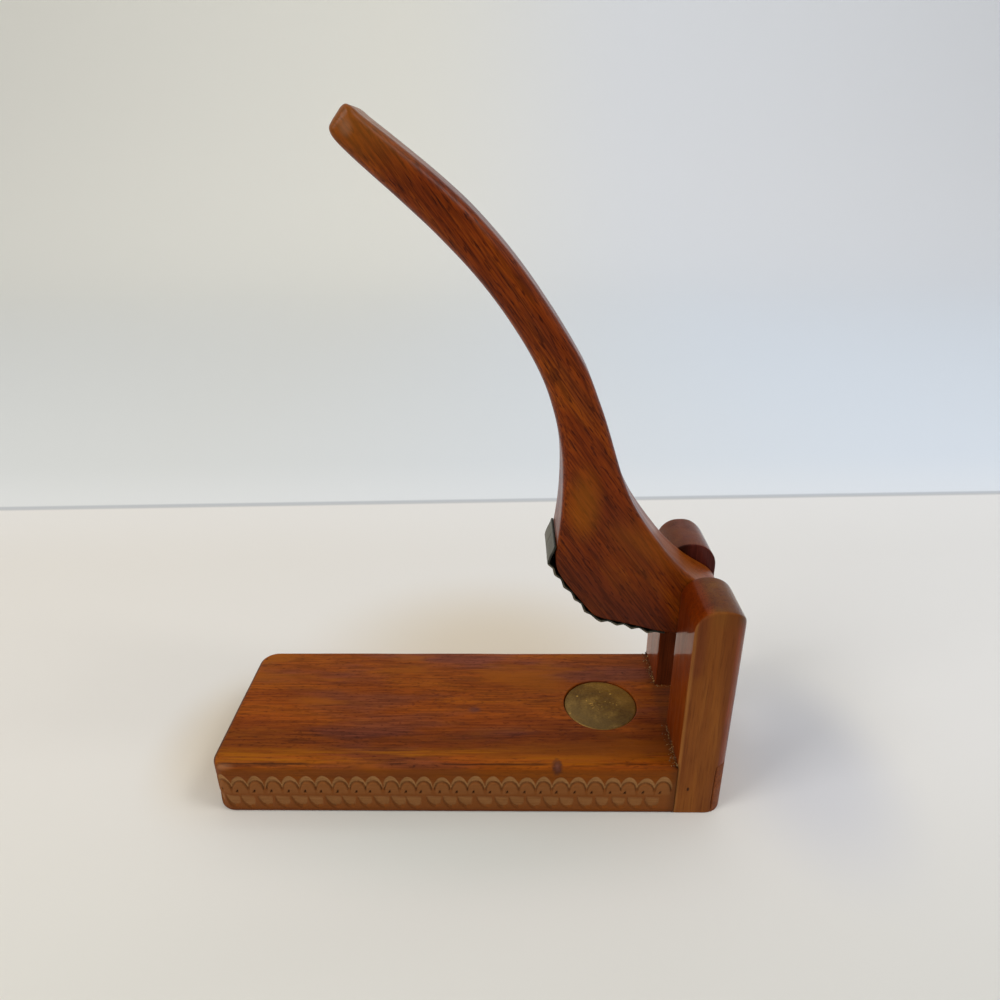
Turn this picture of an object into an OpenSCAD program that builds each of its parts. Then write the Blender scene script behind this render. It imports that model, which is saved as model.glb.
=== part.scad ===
// Lever nutcracker press: a carved wooden base with a brass striker disc, two
// upright posts and a curved wooden lever with a corrugated metal jaw strip.
// Frame: origin at the middle of the base's underside, +Z up, +X along the base
// towards the posts, +Y towards the far side. The lever is drawn raised.

/* [Base] */
// Overall length of the base, over the posts and the back rail
base_l = 209.2; // [206:0.2:214]
// Width of the base
base_w = 76.2; // [76:0.1:78]
// Thickness of the base
base_t = 24.2; // [22:0.2:25]
// Radius of the base's corners in plan
corner_r = 8; // [4:0.5:9]

/* [Carved band] */
// Distance from one carved arch to the next
arch_pitch = 6.8; // [6.5:0.05:6.9]
// Outer radius of a carved arch
arch_r = 3.3; // [2.6:0.1:3.3]
// How much smaller the crescent's inner radius is
arch_cut = 0.5; // [0.3:0.1:0.8]
// Depth of the carving
carve_d = 0.8; // [0.4:0.1:1.2]

/* [Striker disc] */
// Diameter of the striker disc
disc_d = 31.5; // [28:0.5:33]
// Thickness of the striker disc
disc_t = 2.5; // [1.5:0.1:4]
// How far the disc lies below the top of the base
disc_sink = 0.5; // [0.2:0.1:1]
// Position of the disc along the base
disc_x = 57.4; // [50:0.2:62]

/* [Posts] */
// Height of the posts from the floor
post_h = 97.6; // [95:0.2:104]
// Depth of the posts along the base
post_d = 20.5; // [20.5:0.1:22]
// Thickness of each post
post_t = 25; // [24.8:0.1:25.4]
// Rounding of the front shoulder of a post's top
post_r1 = 9; // [6:0.5:10]
// Rounding of the back shoulder of a post's top
post_r2 = 10.2; // [6:0.2:10.2]
// Thickness of the rail across the back of the posts' feet
rail_t = 5; // [4:0.5:6]

/* [Lever] */
// Thickness of the lever
lever_t = 25.2; // [24:0.1:25.2]
// Diameter of the pivot pin
pin_d = 6; // [5:0.5:7]
// Radial clearance of the lever on its pin
pin_clear = 0.05; // [0.02:0.01:0.1]
// Depth of the pin's blind hole in each post
pin_depth = 15; // [8:1:20]

/* [Jaw strip] */
// Width of the corrugated strip
strip_w = 24.8; // [20:0.2:24.8]
// Thickness of the strip's metal
strip_t = 0.9; // [0.6:0.1:0.9]

/* [Nails] */
// Diameter of a jaw strip nail's shank
strip_nail_d = 1.6; // [1.2:0.1:1.8]
// Diameter of a jaw strip nail's head
strip_head_d = 2.8; // [2.4:0.1:3.2]
// Diameter of the brads in the posts and the rail
brad_d = 1.6; // [1.4:0.1:2]
// Reach of a post's brad from the post's outer face
brad_l = 33; // [28:1:36]

/* [Hidden] */
$fn = 64;

x_end = base_l / 2;             // back face of the rail
x_free = -base_l / 2;           // free end of the base
x_post = x_end - post_d;        // face of the posts towards the free end
x_rail = x_end - rail_t;        // front face of the rail
y_front = -base_w / 2;
y_gap = base_w / 2 - post_t;    // half the gap between the posts
pivot = [94.4, 80];             // pivot's X and Z
pocket_clear = 0.35;
strip_gap = 0.05;               // strip's valleys to the wood

// Colours
wood = [0.45, 0.19, 0.08];
wood_light = [0.50, 0.26, 0.12];
wood_lever = [0.52, 0.22, 0.08];
old_brass = [0.45, 0.36, 0.16];
dark_metal = [0.10, 0.11, 0.09];
steel = [0.42, 0.42, 0.42];

// The lever's side outline: X, Z and the radius of the rounded long edge there.
// It runs down the front of the handle, round the head and the heel, and back
// up the rear of the handle to the tip.
lever_ctl = [
  [-37.3, 253.3, 1.6], [-35.8, 250.2, 2.6], [-31.6, 245.7, 4.2], [-26.2, 240.8, 4.6],
  [-20.3, 235.6, 5], [-14.3, 230.2, 5], [-8.2, 224.6, 5], [-1.9, 218.3, 5],
  [4.4, 211.6, 5], [10.8, 203.9, 5], [17.4, 194.8, 5], [24.4, 183.6, 5],
  [29.8, 172.6, 5], [33.4, 161.6, 4.8], [35.6, 151.6, 4.4], [36.6, 144, 4],
  [36.9, 136, 3.5], [36.8, 128, 3], [36.4, 121, 2.5], [35.8, 115, 2],
  [35.2, 109.5, 1], [35, 105, 0.5], [35.4, 101.4, 0.5], [37, 97.7, 0.5],
  [41, 91.8, 0.5], [45.2, 86.4, 0.5], [47.9, 82.8, 0.5], [50.6, 79.8, 0.5],
  [53.8, 78.1, 0.5], [57.8, 77.1, 0.5], [62, 76, 0.5], [66, 75, 0.5],
  [70, 73.9, 0.5], [74, 72.7, 0.5], [78.8, 71.6, 0.6], [84, 70.7, 1],
  [89, 70.2, 1.6], [94.4, 70, 2], [99.8, 71.6, 2], [103.3, 75.4, 2],
  [104.4, 80, 2], [103.4, 84.4, 2], [100.6, 87.9, 2], [96.6, 90.6, 2.2],
  [92.6, 93.2, 2.4], [87.8, 96.8, 2.4], [82.8, 101.4, 2.4], [78.7, 105.8, 2.4],
  [74.6, 111, 2.6], [70, 117.2, 2.8], [66, 123.2, 3], [63, 128.6, 3.2],
  [60.8, 133.4, 3.4], [58.4, 139.6, 3.7], [56.1, 146.6, 4], [53.8, 153.8, 4.4],
  [51.5, 160.6, 4.7], [49.2, 166.6, 5], [45.4, 176, 5], [40.4, 184.8, 5],
  [35.6, 192.4, 5], [31.9, 197.9, 5], [24.6, 208.2, 5], [17.6, 217.1, 5],
  [10.8, 224.8, 5], [4.1, 231.7, 5], [-2.5, 237.6, 5], [-9, 243, 5],
  [-15.3, 247.9, 4.8], [-21.6, 252.7, 4.4], [-27.6, 257.2, 3.4], [-29.8, 259.1, 2.2],
  [-31.8, 260, 1.4], [-33.6, 259.2, 1.5], [-35.1, 257.4, 2], [-36.5, 255.5, 2]
];
seat_from = 19;   // outline points between which the strip lies
seat_to = 35;

// Corrugations: distance along the seat, and height of the strip's outer face
// above the wood. The valleys lie on the wood.
v0 = strip_t + strip_gap;
strip_wave = [
  [4.5, v0], [11.9, 3.4], [13.9, 1.8], [16.5, 2.1], [19.3, v0], [23, 2.1],
  [26.4, v0], [30, 2.1], [33.2, v0], [37, 2.1], [39.8, v0], [44.4, 2.1],
  [46.8, v0], [51, 2.2], [53.4, v0], [57.2, 2.3], [60, v0], [64, 2.4],
  [67, v0], [71, v0]
];
nail_s = [19.3, 39.8, 69];      // rows of nails, as distances along the seat
nail_y = 8;

// Catmull-Rom curve through p1 and p2
function cr(p0, p1, p2, p3, t) = 0.5 * ((2 * p1) + (p2 - p0) * t
  + (2 * p0 - 5 * p1 + 4 * p2 - p3) * t * t + (3 * p1 - p0 - 3 * p2 + p3) * t * t * t);
function at(L, i) = L[(i + len(L)) % len(L)];
function curve(L, i0, i1, n) = [for (i = [i0 : i1 - 1], k = [0 : n - 1])
  cr(at(L, i - 1), at(L, i), at(L, i + 1), at(L, i + 2), k / n)];
// Outward normal of the curve P at point i
function normal(P, i, closed) = let (
    a = closed ? at(P, i - 1) : P[max(i - 1, 0)],
    b = closed ? at(P, i + 1) : P[min(i + 1, len(P) - 1)],
    t = [b[0] - a[0], b[1] - a[1]]) [t[1], -t[0]] / norm(t);
function ease(a, b, u) = a + (b - a) * (1 - cos(180 * u)) / 2;

// ---- lever ----
outline = curve(lever_ctl, 0, len(lever_ctl), 3);
n_out = len(outline);
// Each ring is the outline at one depth: pulled in as the edge rounds over
ring_def = [[-1, 90], [-1, 60], [-1, 30], [-1, 0], [1, 0], [1, 30], [1, 60], [1, 90]];
lever_pts = [for (q = ring_def, i = [0 : n_out - 1]) let (
    p = outline[i], r = p[2], m = normal(outline, i, true),
    in = r * (1 - cos(q[1])), y = q[0] * (lever_t / 2 - r + r * sin(q[1])))
  [p[0] - m[0] * in, y, p[1] - m[1] * in]];
n_ring = len(ring_def);
// Triangles that fill the flat side: steps along the front and the rear edge
// from the tip to the heel, each time the shorter way across
side = [for (i = [0 : n_out - 1]) let (p = outline[i], m = normal(outline, i, true))
  [p[0] - m[0] * p[2], p[1] - m[1] * p[2]]];
function fill(P, a, b) = b - a < 2 ? []
  : norm(P[a + 1] - P[b]) < norm(P[a] - P[b - 1])
    ? concat([[a, a + 1, b]], fill(P, a + 1, b))
    : concat([[a, b - 1, b]], fill(P, a, b - 1));
side_tri = fill(side, 0, n_out - 1);
lever_faces = concat(
  [for (t = side_tri) [t[2], t[1], t[0]]],
  [for (t = side_tri) let (o = (n_ring - 1) * n_out) [t[0] + o, t[1] + o, t[2] + o]],
  [for (k = [0 : n_ring - 2], i = [0 : n_out - 1]) let (a = k * n_out + i, b = k * n_out + (i + 1) % n_out)
    [a, b, a + n_out]],
  [for (k = [0 : n_ring - 2], i = [0 : n_out - 1]) let (a = k * n_out + i, b = k * n_out + (i + 1) % n_out)
    [b, b + n_out, a + n_out]]);

// ---- strip ----
seat = curve(lever_ctl, seat_from, seat_to, 5);
seat_s = [for (i = 0, s = 0; i < len(seat);
  s = s + (i < len(seat) - 1 ? norm([seat[i + 1][0] - seat[i][0], seat[i + 1][1] - seat[i][1]]) : 0), i = i + 1) s];
function wave(s, k = 0) = k > len(strip_wave) - 2 ? v0
  : s <= strip_wave[k + 1][0] ? ease(strip_wave[k][1], strip_wave[k + 1][1],
      (s - strip_wave[k][0]) / (strip_wave[k + 1][0] - strip_wave[k][0]))
  : wave(s, k + 1);
function off_pt(P, i, d) = let (m = normal(P, i, false)) [P[i][0] + m[0] * d, P[i][1] + m[1] * d];
strip_i = [for (i = [0 : len(seat) - 1]) if (seat_s[i] >= 4.5 && seat_s[i] <= 71) i];
// Index of the seat point nearest a distance s
function near(s, i = 0) = i >= len(seat) - 1 || seat_s[i] >= s ? i : near(s, i + 1);

// ---- shared shapes ----
module plan_outline(h) {
  // the base's outline in plan, with its four rounded corners
  linear_extrude(h) union() {
    translate([x_free + corner_r, y_front]) square([base_l - 2 * corner_r, base_w]);
    translate([x_free, y_front + corner_r]) square([base_l, base_w - 2 * corner_r]);
    for (x = [x_free + corner_r, x_end - corner_r], y = [y_front + corner_r, -y_front - corner_r])
      translate([x, y]) circle(r = corner_r);
  }
}

module along_y(x, z, y0, y1, r) {
  translate([x, y0, z]) rotate([-90, 0, 0]) cylinder(h = y1 - y0, r = r);
}

module along_x(x0, x1, y, z, r) {
  translate([x0, y, z]) rotate([0, 90, 0]) cylinder(h = x1 - x0, r = r);
}

// One repeat of the carving, as a flat figure: a crescent over a tooth
module carve_2d() {
  difference() {
    circle(r = arch_r);
    translate([0, -2.75]) circle(r = arch_r - arch_cut);
    translate([-arch_r - 1, -arch_r - 1]) square([2 * arch_r + 2, arch_r + 1 - 1.95]);
  }
  // the tooth stands half a repeat to one side
  translate([-3.3, -11.1]) union() {
    circle(r = 2.6);
    translate([-2.6, 0]) square([5.2, 4.2]);
  }
}

// A run of the carving n repeats long, cut into a face looking along -Y
module carve_run(n) {
  translate([0, carve_d, 0]) rotate([90, 0, 0]) linear_extrude(carve_d + 1)
    for (i = [0 : n - 1]) translate([(i - (n - 1) / 2) * arch_pitch, 16.1]) carve_2d();
}

module post_brads(d, sink) {
  for (s = [-1, 1])
    along_y(x_post + 5, 13, s < 0 ? y_front + sink : -y_front - brad_l, s < 0 ? y_front + brad_l : -y_front - sink, d / 2);
}

module rail_brads(d, sink) {
  for (y = [y_front + 12, 0, -y_front - 12]) along_x(x_end - 13, x_end - sink, y, base_t / 2, d / 2);
}

module strip_row(part) {
  // part 0: shank, part 1: head, part 2: room for the head
  for (s = nail_s, y = [-nail_y, nail_y]) let (i = near(s), m = normal(seat, i, false))
    translate([seat[i][0], y, seat[i][1]]) rotate([0, atan2(m[0], m[1]), 0]) {
      if (part == 0) translate([0, 0, -12]) cylinder(h = 12 + v0, d = strip_nail_d);
      if (part == 1) translate([0, 0, v0]) cylinder(h = 0.6, d = strip_head_d);
      if (part == 2) translate([0, 0, v0]) cylinder(h = 3, d = strip_head_d);
    }
}

// ---- sub-parts ----
module base_board() color(wood) difference() {
  intersection() {
    plan_outline(base_t);
    union() {
      translate([x_free, y_front, 0]) cube([x_post - x_free, base_w, base_t]);
      translate([x_post - 1, -y_gap, 0]) cube([x_rail - x_post + 1, 2 * y_gap, base_t]);
    }
  }
  // pocket for the striker disc
  translate([disc_x, 0, base_t - disc_sink - disc_t]) cylinder(h = 10, d = disc_d + 2 * pocket_clear);
  post_brads(brad_d, 0);
  rail_brads(brad_d, 0);
  // carving on the front, the free end and the back
  for (s = [0, 180]) rotate([0, 0, s])
    translate([(s == 0 ? 1 : -1) * (x_free + 8.6 + 13 * arch_pitch), y_front, 0]) carve_run(26);
  rotate([0, 0, -90]) translate([0, x_free, 0]) carve_run(8);
}

module striker_disc() color(old_brass)
  translate([disc_x, 0, base_t - disc_sink - disc_t]) cylinder(h = disc_t, d = disc_d);

module post(side) {
  difference() {
    intersection() {
      plan_outline(post_h);
      translate([0, side > 0 ? -y_front - post_t : y_front, 0])
        translate([0, post_t, 0]) rotate([90, 0, 0]) linear_extrude(post_t) union() {
          translate([x_post, 0]) square([post_d, post_h - post_r2]);
          translate([x_post, 0]) square([post_r1, post_h - post_r1]);
          translate([x_post + post_r1, 0]) square([post_d - post_r1 - post_r2, post_h]);
          translate([x_post + post_r1, post_h - post_r1]) circle(r = post_r1);
          translate([x_end - post_r2, post_h - post_r2]) circle(r = post_r2);
        }
    }
    // rebate for the back rail
    translate([x_rail, -base_w, -1]) cube([rail_t + 1, 2 * base_w, base_t + 1]);
    // blind hole for the pin
    along_y(pivot[0], pivot[1], -y_gap - pin_depth, y_gap + pin_depth, pin_d / 2);
    post_brads(brad_d, 0);
    rail_brads(brad_d, 0);
  }
}

module front_post() color(wood_light) post(-1);
module rear_post() color(wood_light) post(1);

module back_rail() color(wood) difference() {
  intersection() {
    plan_outline(base_t);
    translate([x_rail, y_front, 0]) cube([rail_t, base_w, base_t]);
  }
  rail_brads(brad_d, 0);
}

module post_nails() color(steel) post_brads(brad_d, 0.6);
module rail_nails() color(steel) rail_brads(brad_d, 0.4);
module pivot_pin() color(steel)
  along_y(pivot[0], pivot[1], -y_gap - pin_depth, y_gap + pin_depth, pin_d / 2);

module lever() color(wood_lever) difference() {
  polyhedron(points = lever_pts, faces = lever_faces, convexity = 6);
  along_y(pivot[0], pivot[1], -lever_t, lever_t, pin_d / 2 + pin_clear);
  strip_row(0);
}

module jaw_strip() color(dark_metal) difference() {
  translate([0, strip_w / 2, 0]) rotate([90, 0, 0]) linear_extrude(strip_w)
    polygon(concat(
      [for (i = strip_i) off_pt(seat, i, wave(seat_s[i]))],
      [for (k = [len(strip_i) - 1 : -1 : 0]) let (i = strip_i[k]) off_pt(seat, i, wave(seat_s[i]) - strip_t)]));
  strip_row(0);
  strip_row(2);
}

module strip_nails() color(steel) {
  strip_row(0);
  strip_row(1);
}

base_board();
striker_disc();
front_post();
rear_post();
back_rail();
post_nails();
rail_nails();
pivot_pin();
lever();
jaw_strip();
strip_nails();
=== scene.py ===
import math

import bmesh
import bpy
import numpy as np
from mathutils import Matrix, Vector
from mathutils.geometry import tessellate_polygon


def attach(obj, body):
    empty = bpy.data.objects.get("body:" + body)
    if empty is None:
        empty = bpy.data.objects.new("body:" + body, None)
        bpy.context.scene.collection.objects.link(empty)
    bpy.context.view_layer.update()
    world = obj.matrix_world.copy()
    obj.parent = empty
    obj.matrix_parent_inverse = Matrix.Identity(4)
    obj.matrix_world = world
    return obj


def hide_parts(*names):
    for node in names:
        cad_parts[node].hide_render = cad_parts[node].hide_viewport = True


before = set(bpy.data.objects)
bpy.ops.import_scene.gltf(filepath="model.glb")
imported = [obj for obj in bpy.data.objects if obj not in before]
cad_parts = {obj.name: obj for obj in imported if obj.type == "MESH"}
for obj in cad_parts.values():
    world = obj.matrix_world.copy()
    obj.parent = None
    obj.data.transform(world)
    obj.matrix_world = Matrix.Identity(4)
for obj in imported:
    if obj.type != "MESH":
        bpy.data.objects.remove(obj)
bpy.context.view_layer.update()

MM = 0.001
scene = bpy.context.scene
scene.view_settings.view_transform = "Standard"
scene.view_settings.look = "None"

# ---------------------------------------------------------------- sizes, in mm
BASE_L, BASE_W, BASE_T, CORNER_R = 209.2, 76.2, 24.2, 8.0
X_END, X_FREE = BASE_L / 2, -BASE_L / 2
X_POST = X_END - 20.5
X_RAIL = X_END - 5.0
Y_OUT = BASE_W / 2
Y_GAP = Y_OUT - 25.0
POST_H = 97.6
DISC = (57.4, 0.0)
DISC_R = 15.75
LEVER_HALF = 12.6
STRIP_HALF = 12.4
PIVOT = (94.4, 80.0)

# The lever's side outline: X, Z and the radius of the rounded long edge there
LEVER = np.array([
    (-37.3, 253.3, 1.6), (-35.8, 250.2, 2.6), (-31.6, 245.7, 4.2), (-26.2, 240.8, 4.6),
    (-20.3, 235.6, 5), (-14.3, 230.2, 5), (-8.2, 224.6, 5), (-1.9, 218.3, 5),
    (4.4, 211.6, 5), (10.8, 203.9, 5), (17.4, 194.8, 5), (24.4, 183.6, 5),
    (29.8, 172.6, 5), (33.4, 161.6, 4.8), (35.6, 151.6, 4.4), (36.6, 144, 4),
    (36.9, 136, 3.5), (36.8, 128, 3), (36.4, 121, 2.5), (35.8, 115, 2),
    (35.2, 109.5, 1), (35, 105, 0.5), (35.4, 101.4, 0.5), (37, 97.7, 0.5),
    (41, 91.8, 0.5), (45.2, 86.4, 0.5), (47.9, 82.8, 0.5), (50.6, 79.8, 0.5),
    (53.8, 78.1, 0.5), (57.8, 77.1, 0.5), (62, 76, 0.5), (66, 75, 0.5),
    (70, 73.9, 0.5), (74, 72.7, 0.5), (78.8, 71.6, 0.6), (84, 70.7, 1),
    (89, 70.2, 1.6), (94.4, 70, 2), (99.8, 71.6, 2), (103.3, 75.4, 2),
    (104.4, 80, 2), (103.4, 84.4, 2), (100.6, 87.9, 2), (96.6, 90.6, 2.2),
    (92.6, 93.2, 2.4), (87.8, 96.8, 2.4), (82.8, 101.4, 2.4), (78.7, 105.8, 2.4),
    (74.6, 111, 2.6), (70, 117.2, 2.8), (66, 123.2, 3), (63, 128.6, 3.2),
    (60.8, 133.4, 3.4), (58.4, 139.6, 3.7), (56.1, 146.6, 4), (53.8, 153.8, 4.4),
    (51.5, 160.6, 4.7), (49.2, 166.6, 5), (45.4, 176, 5), (40.4, 184.8, 5),
    (35.6, 192.4, 5), (31.9, 197.9, 5), (24.6, 208.2, 5), (17.6, 217.1, 5),
    (10.8, 224.8, 5), (4.1, 231.7, 5), (-2.5, 237.6, 5), (-9, 243, 5),
    (-15.3, 247.9, 4.8), (-21.6, 252.7, 4.4), (-27.6, 257.2, 3.4), (-29.8, 259.1, 2.2),
    (-31.8, 260, 1.4), (-33.6, 259.2, 1.5), (-35.1, 257.4, 2), (-36.5, 255.5, 2),
], float)
SEAT = (19, 35)
V0 = 0.95
WAVE = np.array([
    (4.5, V0), (11.9, 3.4), (13.9, 1.8), (16.5, 2.1), (19.3, V0), (23, 2.1),
    (26.4, V0), (30, 2.1), (33.2, V0), (37, 2.1), (39.8, V0), (44.4, 2.1),
    (46.8, V0), (51, 2.2), (53.4, V0), (57.2, 2.3), (60, V0), (64, 2.4),
    (67, V0), (71, V0),
])


# ---------------------------------------------------------------- helpers
def lattice(ix, iy, iz, seed):
    h = (ix * 73856093) ^ (iy * 19349663) ^ (iz * 83492791) ^ (seed * 2654435761)
    h = (h ^ (h >> 13)) & 0xFFFFFFFF
    h = (h * 1274126177) & 0xFFFFFFFF
    h = (h ^ (h >> 16)) & 0xFFFFFFFF
    return h / 4294967295.0


def noise3(p, seed=0):
    """Smooth value noise, from -1 to 1, at the points p of shape (n, 3)."""
    p = np.asarray(p, float)
    i = np.floor(p).astype(np.int64)
    f = p - i
    u = f * f * (3 - 2 * f)
    out = np.zeros(len(p))
    for dx in (0, 1):
        for dy in (0, 1):
            for dz in (0, 1):
                w = (u[:, 0] if dx else 1 - u[:, 0]) * (u[:, 1] if dy else 1 - u[:, 1]) * (u[:, 2] if dz else 1 - u[:, 2])
                out += w * lattice(i[:, 0] + dx, i[:, 1] + dy, i[:, 2] + dz, seed)
    return out * 2 - 1


def step01(a, b, x):
    t = np.clip((x - a) / (b - a), 0, 1)
    return t * t * (3 - 2 * t)


def make(name, verts, faces, material, body, replaces=(), attrs=None, fix=True, merge=0.0):
    """A piece from points in millimetres. Its faces are turned outwards if its volume comes out negative."""
    verts = np.asarray(verts, float)
    me = bpy.data.meshes.new(name)
    me.from_pydata((verts * MM).tolist(), [], faces)
    me.update()
    if attrs:
        for key, values in attrs.items():
            a = me.attributes.new(key, "FLOAT", "POINT")
            a.data.foreach_set("value", np.asarray(values, np.float32))
    bm = bmesh.new()
    bm.from_mesh(me)
    if merge:
        bmesh.ops.remove_doubles(bm, verts=bm.verts, dist=merge * MM)
        bmesh.ops.dissolve_degenerate(bm, edges=bm.edges, dist=1e-7)
    if fix and bm.calc_volume(signed=True) < 0:
        bmesh.ops.reverse_faces(bm, faces=bm.faces)
    bm.to_mesh(me)
    bm.free()
    me.polygons.foreach_set("use_smooth", [True] * len(me.polygons))
    me.update()
    ob = bpy.data.objects.new(name, me)
    scene.collection.objects.link(ob)
    me.materials.append(material)
    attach(ob, body)
    if replaces:
        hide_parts(*replaces)
    return ob


def fillet_path(corners, step):
    """A closed outline from corners (u, v, fillet, *extra): straight runs in steps of about `step`, and rounded corners.
    Returns the points and their extras."""
    n = len(corners)
    C = [np.array(c[:2], float) for c in corners]
    pts, ext = [], []
    ends = []
    for k in range(n):
        p, a, b = C[k], C[k - 1], C[(k + 1) % n]
        r = corners[k][2]
        u, w = (a - p) / np.linalg.norm(a - p), (b - p) / np.linalg.norm(b - p)
        half = math.acos(np.clip(u @ w, -1, 1)) / 2
        t = r / math.tan(half)
        bis = (u + w) / np.linalg.norm(u + w)
        centre = p + bis * r / math.sin(half)
        s, e = p + u * t, p + w * t
        a0 = math.atan2(*(s - centre)[::-1])
        a1 = math.atan2(*(e - centre)[::-1])
        while a1 - a0 > math.pi:
            a1 -= 2 * math.pi
        while a1 - a0 < -math.pi:
            a1 += 2 * math.pi
        m = max(4, int(abs(a1 - a0) * r / 0.5))
        arc = [centre + r * np.array([math.cos(a0 + (a1 - a0) * q / m), math.sin(a0 + (a1 - a0) * q / m)]) for q in range(m + 1)]
        ends.append((arc, np.array(corners[k][3:], float)))
    for k in range(n):
        arc, x = ends[k]
        nxt, y = ends[(k + 1) % n]
        for q in arc:
            pts.append(q)
            ext.append(x)
        a, b = arc[-1], nxt[0]
        m = int(np.linalg.norm(b - a) / step)
        for q in range(1, m + 1):
            f = q / (m + 1)
            pts.append(a + (b - a) * f)
            ext.append(x + (y - x) * f)
    return np.array(pts), np.array(ext)


def normals2(P):
    """Outward unit normals of a closed outline that runs anticlockwise."""
    t = np.roll(P, -1, axis=0) - np.roll(P, 1, axis=0)
    t /= np.maximum(np.linalg.norm(t, axis=1), 1e-9)[:, None]
    return np.c_[t[:, 1], -t[:, 0]]


def catmull(C, sub, i0=None, i1=None, closed=True):
    n = len(C)
    rows = []
    rng_ = range(n) if i0 is None else range(i0, i1)
    for i in rng_:
        p0, p1, p2, p3 = C[(i - 1) % n], C[i % n], C[(i + 1) % n], C[(i + 2) % n]
        for k in range(sub):
            t = k / sub
            rows.append(0.5 * (2 * p1 + (p2 - p0) * t + (2 * p0 - 5 * p1 + 4 * p2 - p3) * t * t + (3 * p1 - p0 - 3 * p2 + p3) * t ** 3))
    return np.array(rows)


# ---------------------------------------------------------------- materials
class Graph:
    """A short way to write a node tree."""

    def __init__(self, name):
        self.mat = bpy.data.materials.new(name)
        self.mat.use_nodes = True
        self.t = self.mat.node_tree
        self.t.nodes.clear()
        self.out = self.t.nodes.new("ShaderNodeOutputMaterial")
        self.bsdf = self.t.nodes.new("ShaderNodeBsdfPrincipled")
        self.link(self.bsdf.outputs[0], self.out.inputs[0])
        self.coord = self.t.nodes.new("ShaderNodeTexCoord").outputs["Object"]

    def link(self, a, b):
        self.t.links.new(a, b)

    def put(self, value, socket):
        if isinstance(value, bpy.types.NodeSocket):
            self.link(value, socket)
        else:
            socket.default_value = value

    def mapping(self, src, rot=(0, 0, 0), scale=(1, 1, 1), loc=(0, 0, 0)):
        m = self.t.nodes.new("ShaderNodeMapping")
        m.inputs["Rotation"].default_value = rot
        m.inputs["Scale"].default_value = scale
        m.inputs["Location"].default_value = loc
        self.link(src, m.inputs["Vector"])
        return m.outputs[0]

    def noise(self, vec, scale=1.0, detail=3.0, rough=0.5, dist=0.0, lac=2.0):
        n = self.t.nodes.new("ShaderNodeTexNoise")
        self.link(vec, n.inputs["Vector"])
        n.inputs["Scale"].default_value = scale
        n.inputs["Detail"].default_value = detail
        n.inputs["Roughness"].default_value = rough
        n.inputs["Lacunarity"].default_value = lac
        n.inputs["Distortion"].default_value = dist
        return n.outputs[0]

    def voronoi(self, vec, scale=1.0, feature="F1", rand=1.0):
        n = self.t.nodes.new("ShaderNodeTexVoronoi")
        n.feature = feature
        self.link(vec, n.inputs["Vector"])
        n.inputs["Scale"].default_value = scale
        n.inputs["Randomness"].default_value = rand
        return n.outputs["Distance"]

    def ramp(self, fac, stops, interp="LINEAR"):
        n = self.t.nodes.new("ShaderNodeValToRGB")
        n.color_ramp.interpolation = interp
        e = n.color_ramp.elements
        while len(e) < len(stops):
            e.new(0.5)
        for k, (pos, col) in enumerate(stops):
            e[k].position = pos
            e[k].color = (*col, 1) if len(col) == 3 else col
        self.link(fac, n.inputs[0])
        return n.outputs[0]

    def range(self, v, a, b, c=0.0, d=1.0, smooth=True):
        n = self.t.nodes.new("ShaderNodeMapRange")
        n.interpolation_type = "SMOOTHSTEP" if smooth else "LINEAR"
        self.put(v, n.inputs["Value"])
        for key, x in zip(("From Min", "From Max", "To Min", "To Max"), (a, b, c, d)):
            n.inputs[key].default_value = x
        return n.outputs["Result"]

    def math(self, op, a, b=0.0, clamp=False):
        n = self.t.nodes.new("ShaderNodeMath")
        n.operation = op
        n.use_clamp = clamp
        self.put(a, n.inputs[0])
        self.put(b, n.inputs[1])
        return n.outputs[0]

    def mix(self, fac, a, b, blend="MIX"):
        n = self.t.nodes.new("ShaderNodeMix")
        n.data_type = "RGBA"
        n.blend_type = blend
        self.put(fac, n.inputs[0])
        for value, socket in ((a, n.inputs[6]), (b, n.inputs[7])):
            self.put(value if isinstance(value, bpy.types.NodeSocket) else (*value, 1), socket)
        return n.outputs[2]

    def attr(self, name):
        n = self.t.nodes.new("ShaderNodeAttribute")
        n.attribute_name = name
        return n.outputs["Fac"]

    def dist(self, point, scale=(1, 1, 1)):
        """Distance in millimetres from a point given in millimetres, each axis weighted."""
        m = self.mapping(self.coord, scale=tuple(1000 * s for s in scale), loc=tuple(-p * s for p, s in zip(point, scale)))
        n = self.t.nodes.new("ShaderNodeVectorMath")
        n.operation = "LENGTH"
        self.link(m, n.inputs[0])
        return n.outputs["Value"]

    def split(self, vec):
        n = self.t.nodes.new("ShaderNodeSeparateXYZ")
        self.link(vec, n.inputs[0])
        return n.outputs

    def bump(self, height, strength, distance, normal=None):
        n = self.t.nodes.new("ShaderNodeBump")
        n.inputs["Strength"].default_value = strength
        n.inputs["Distance"].default_value = distance
        self.link(height, n.inputs["Height"])
        if normal is not None:
            self.link(normal, n.inputs["Normal"])
        return n.outputs[0]


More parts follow.
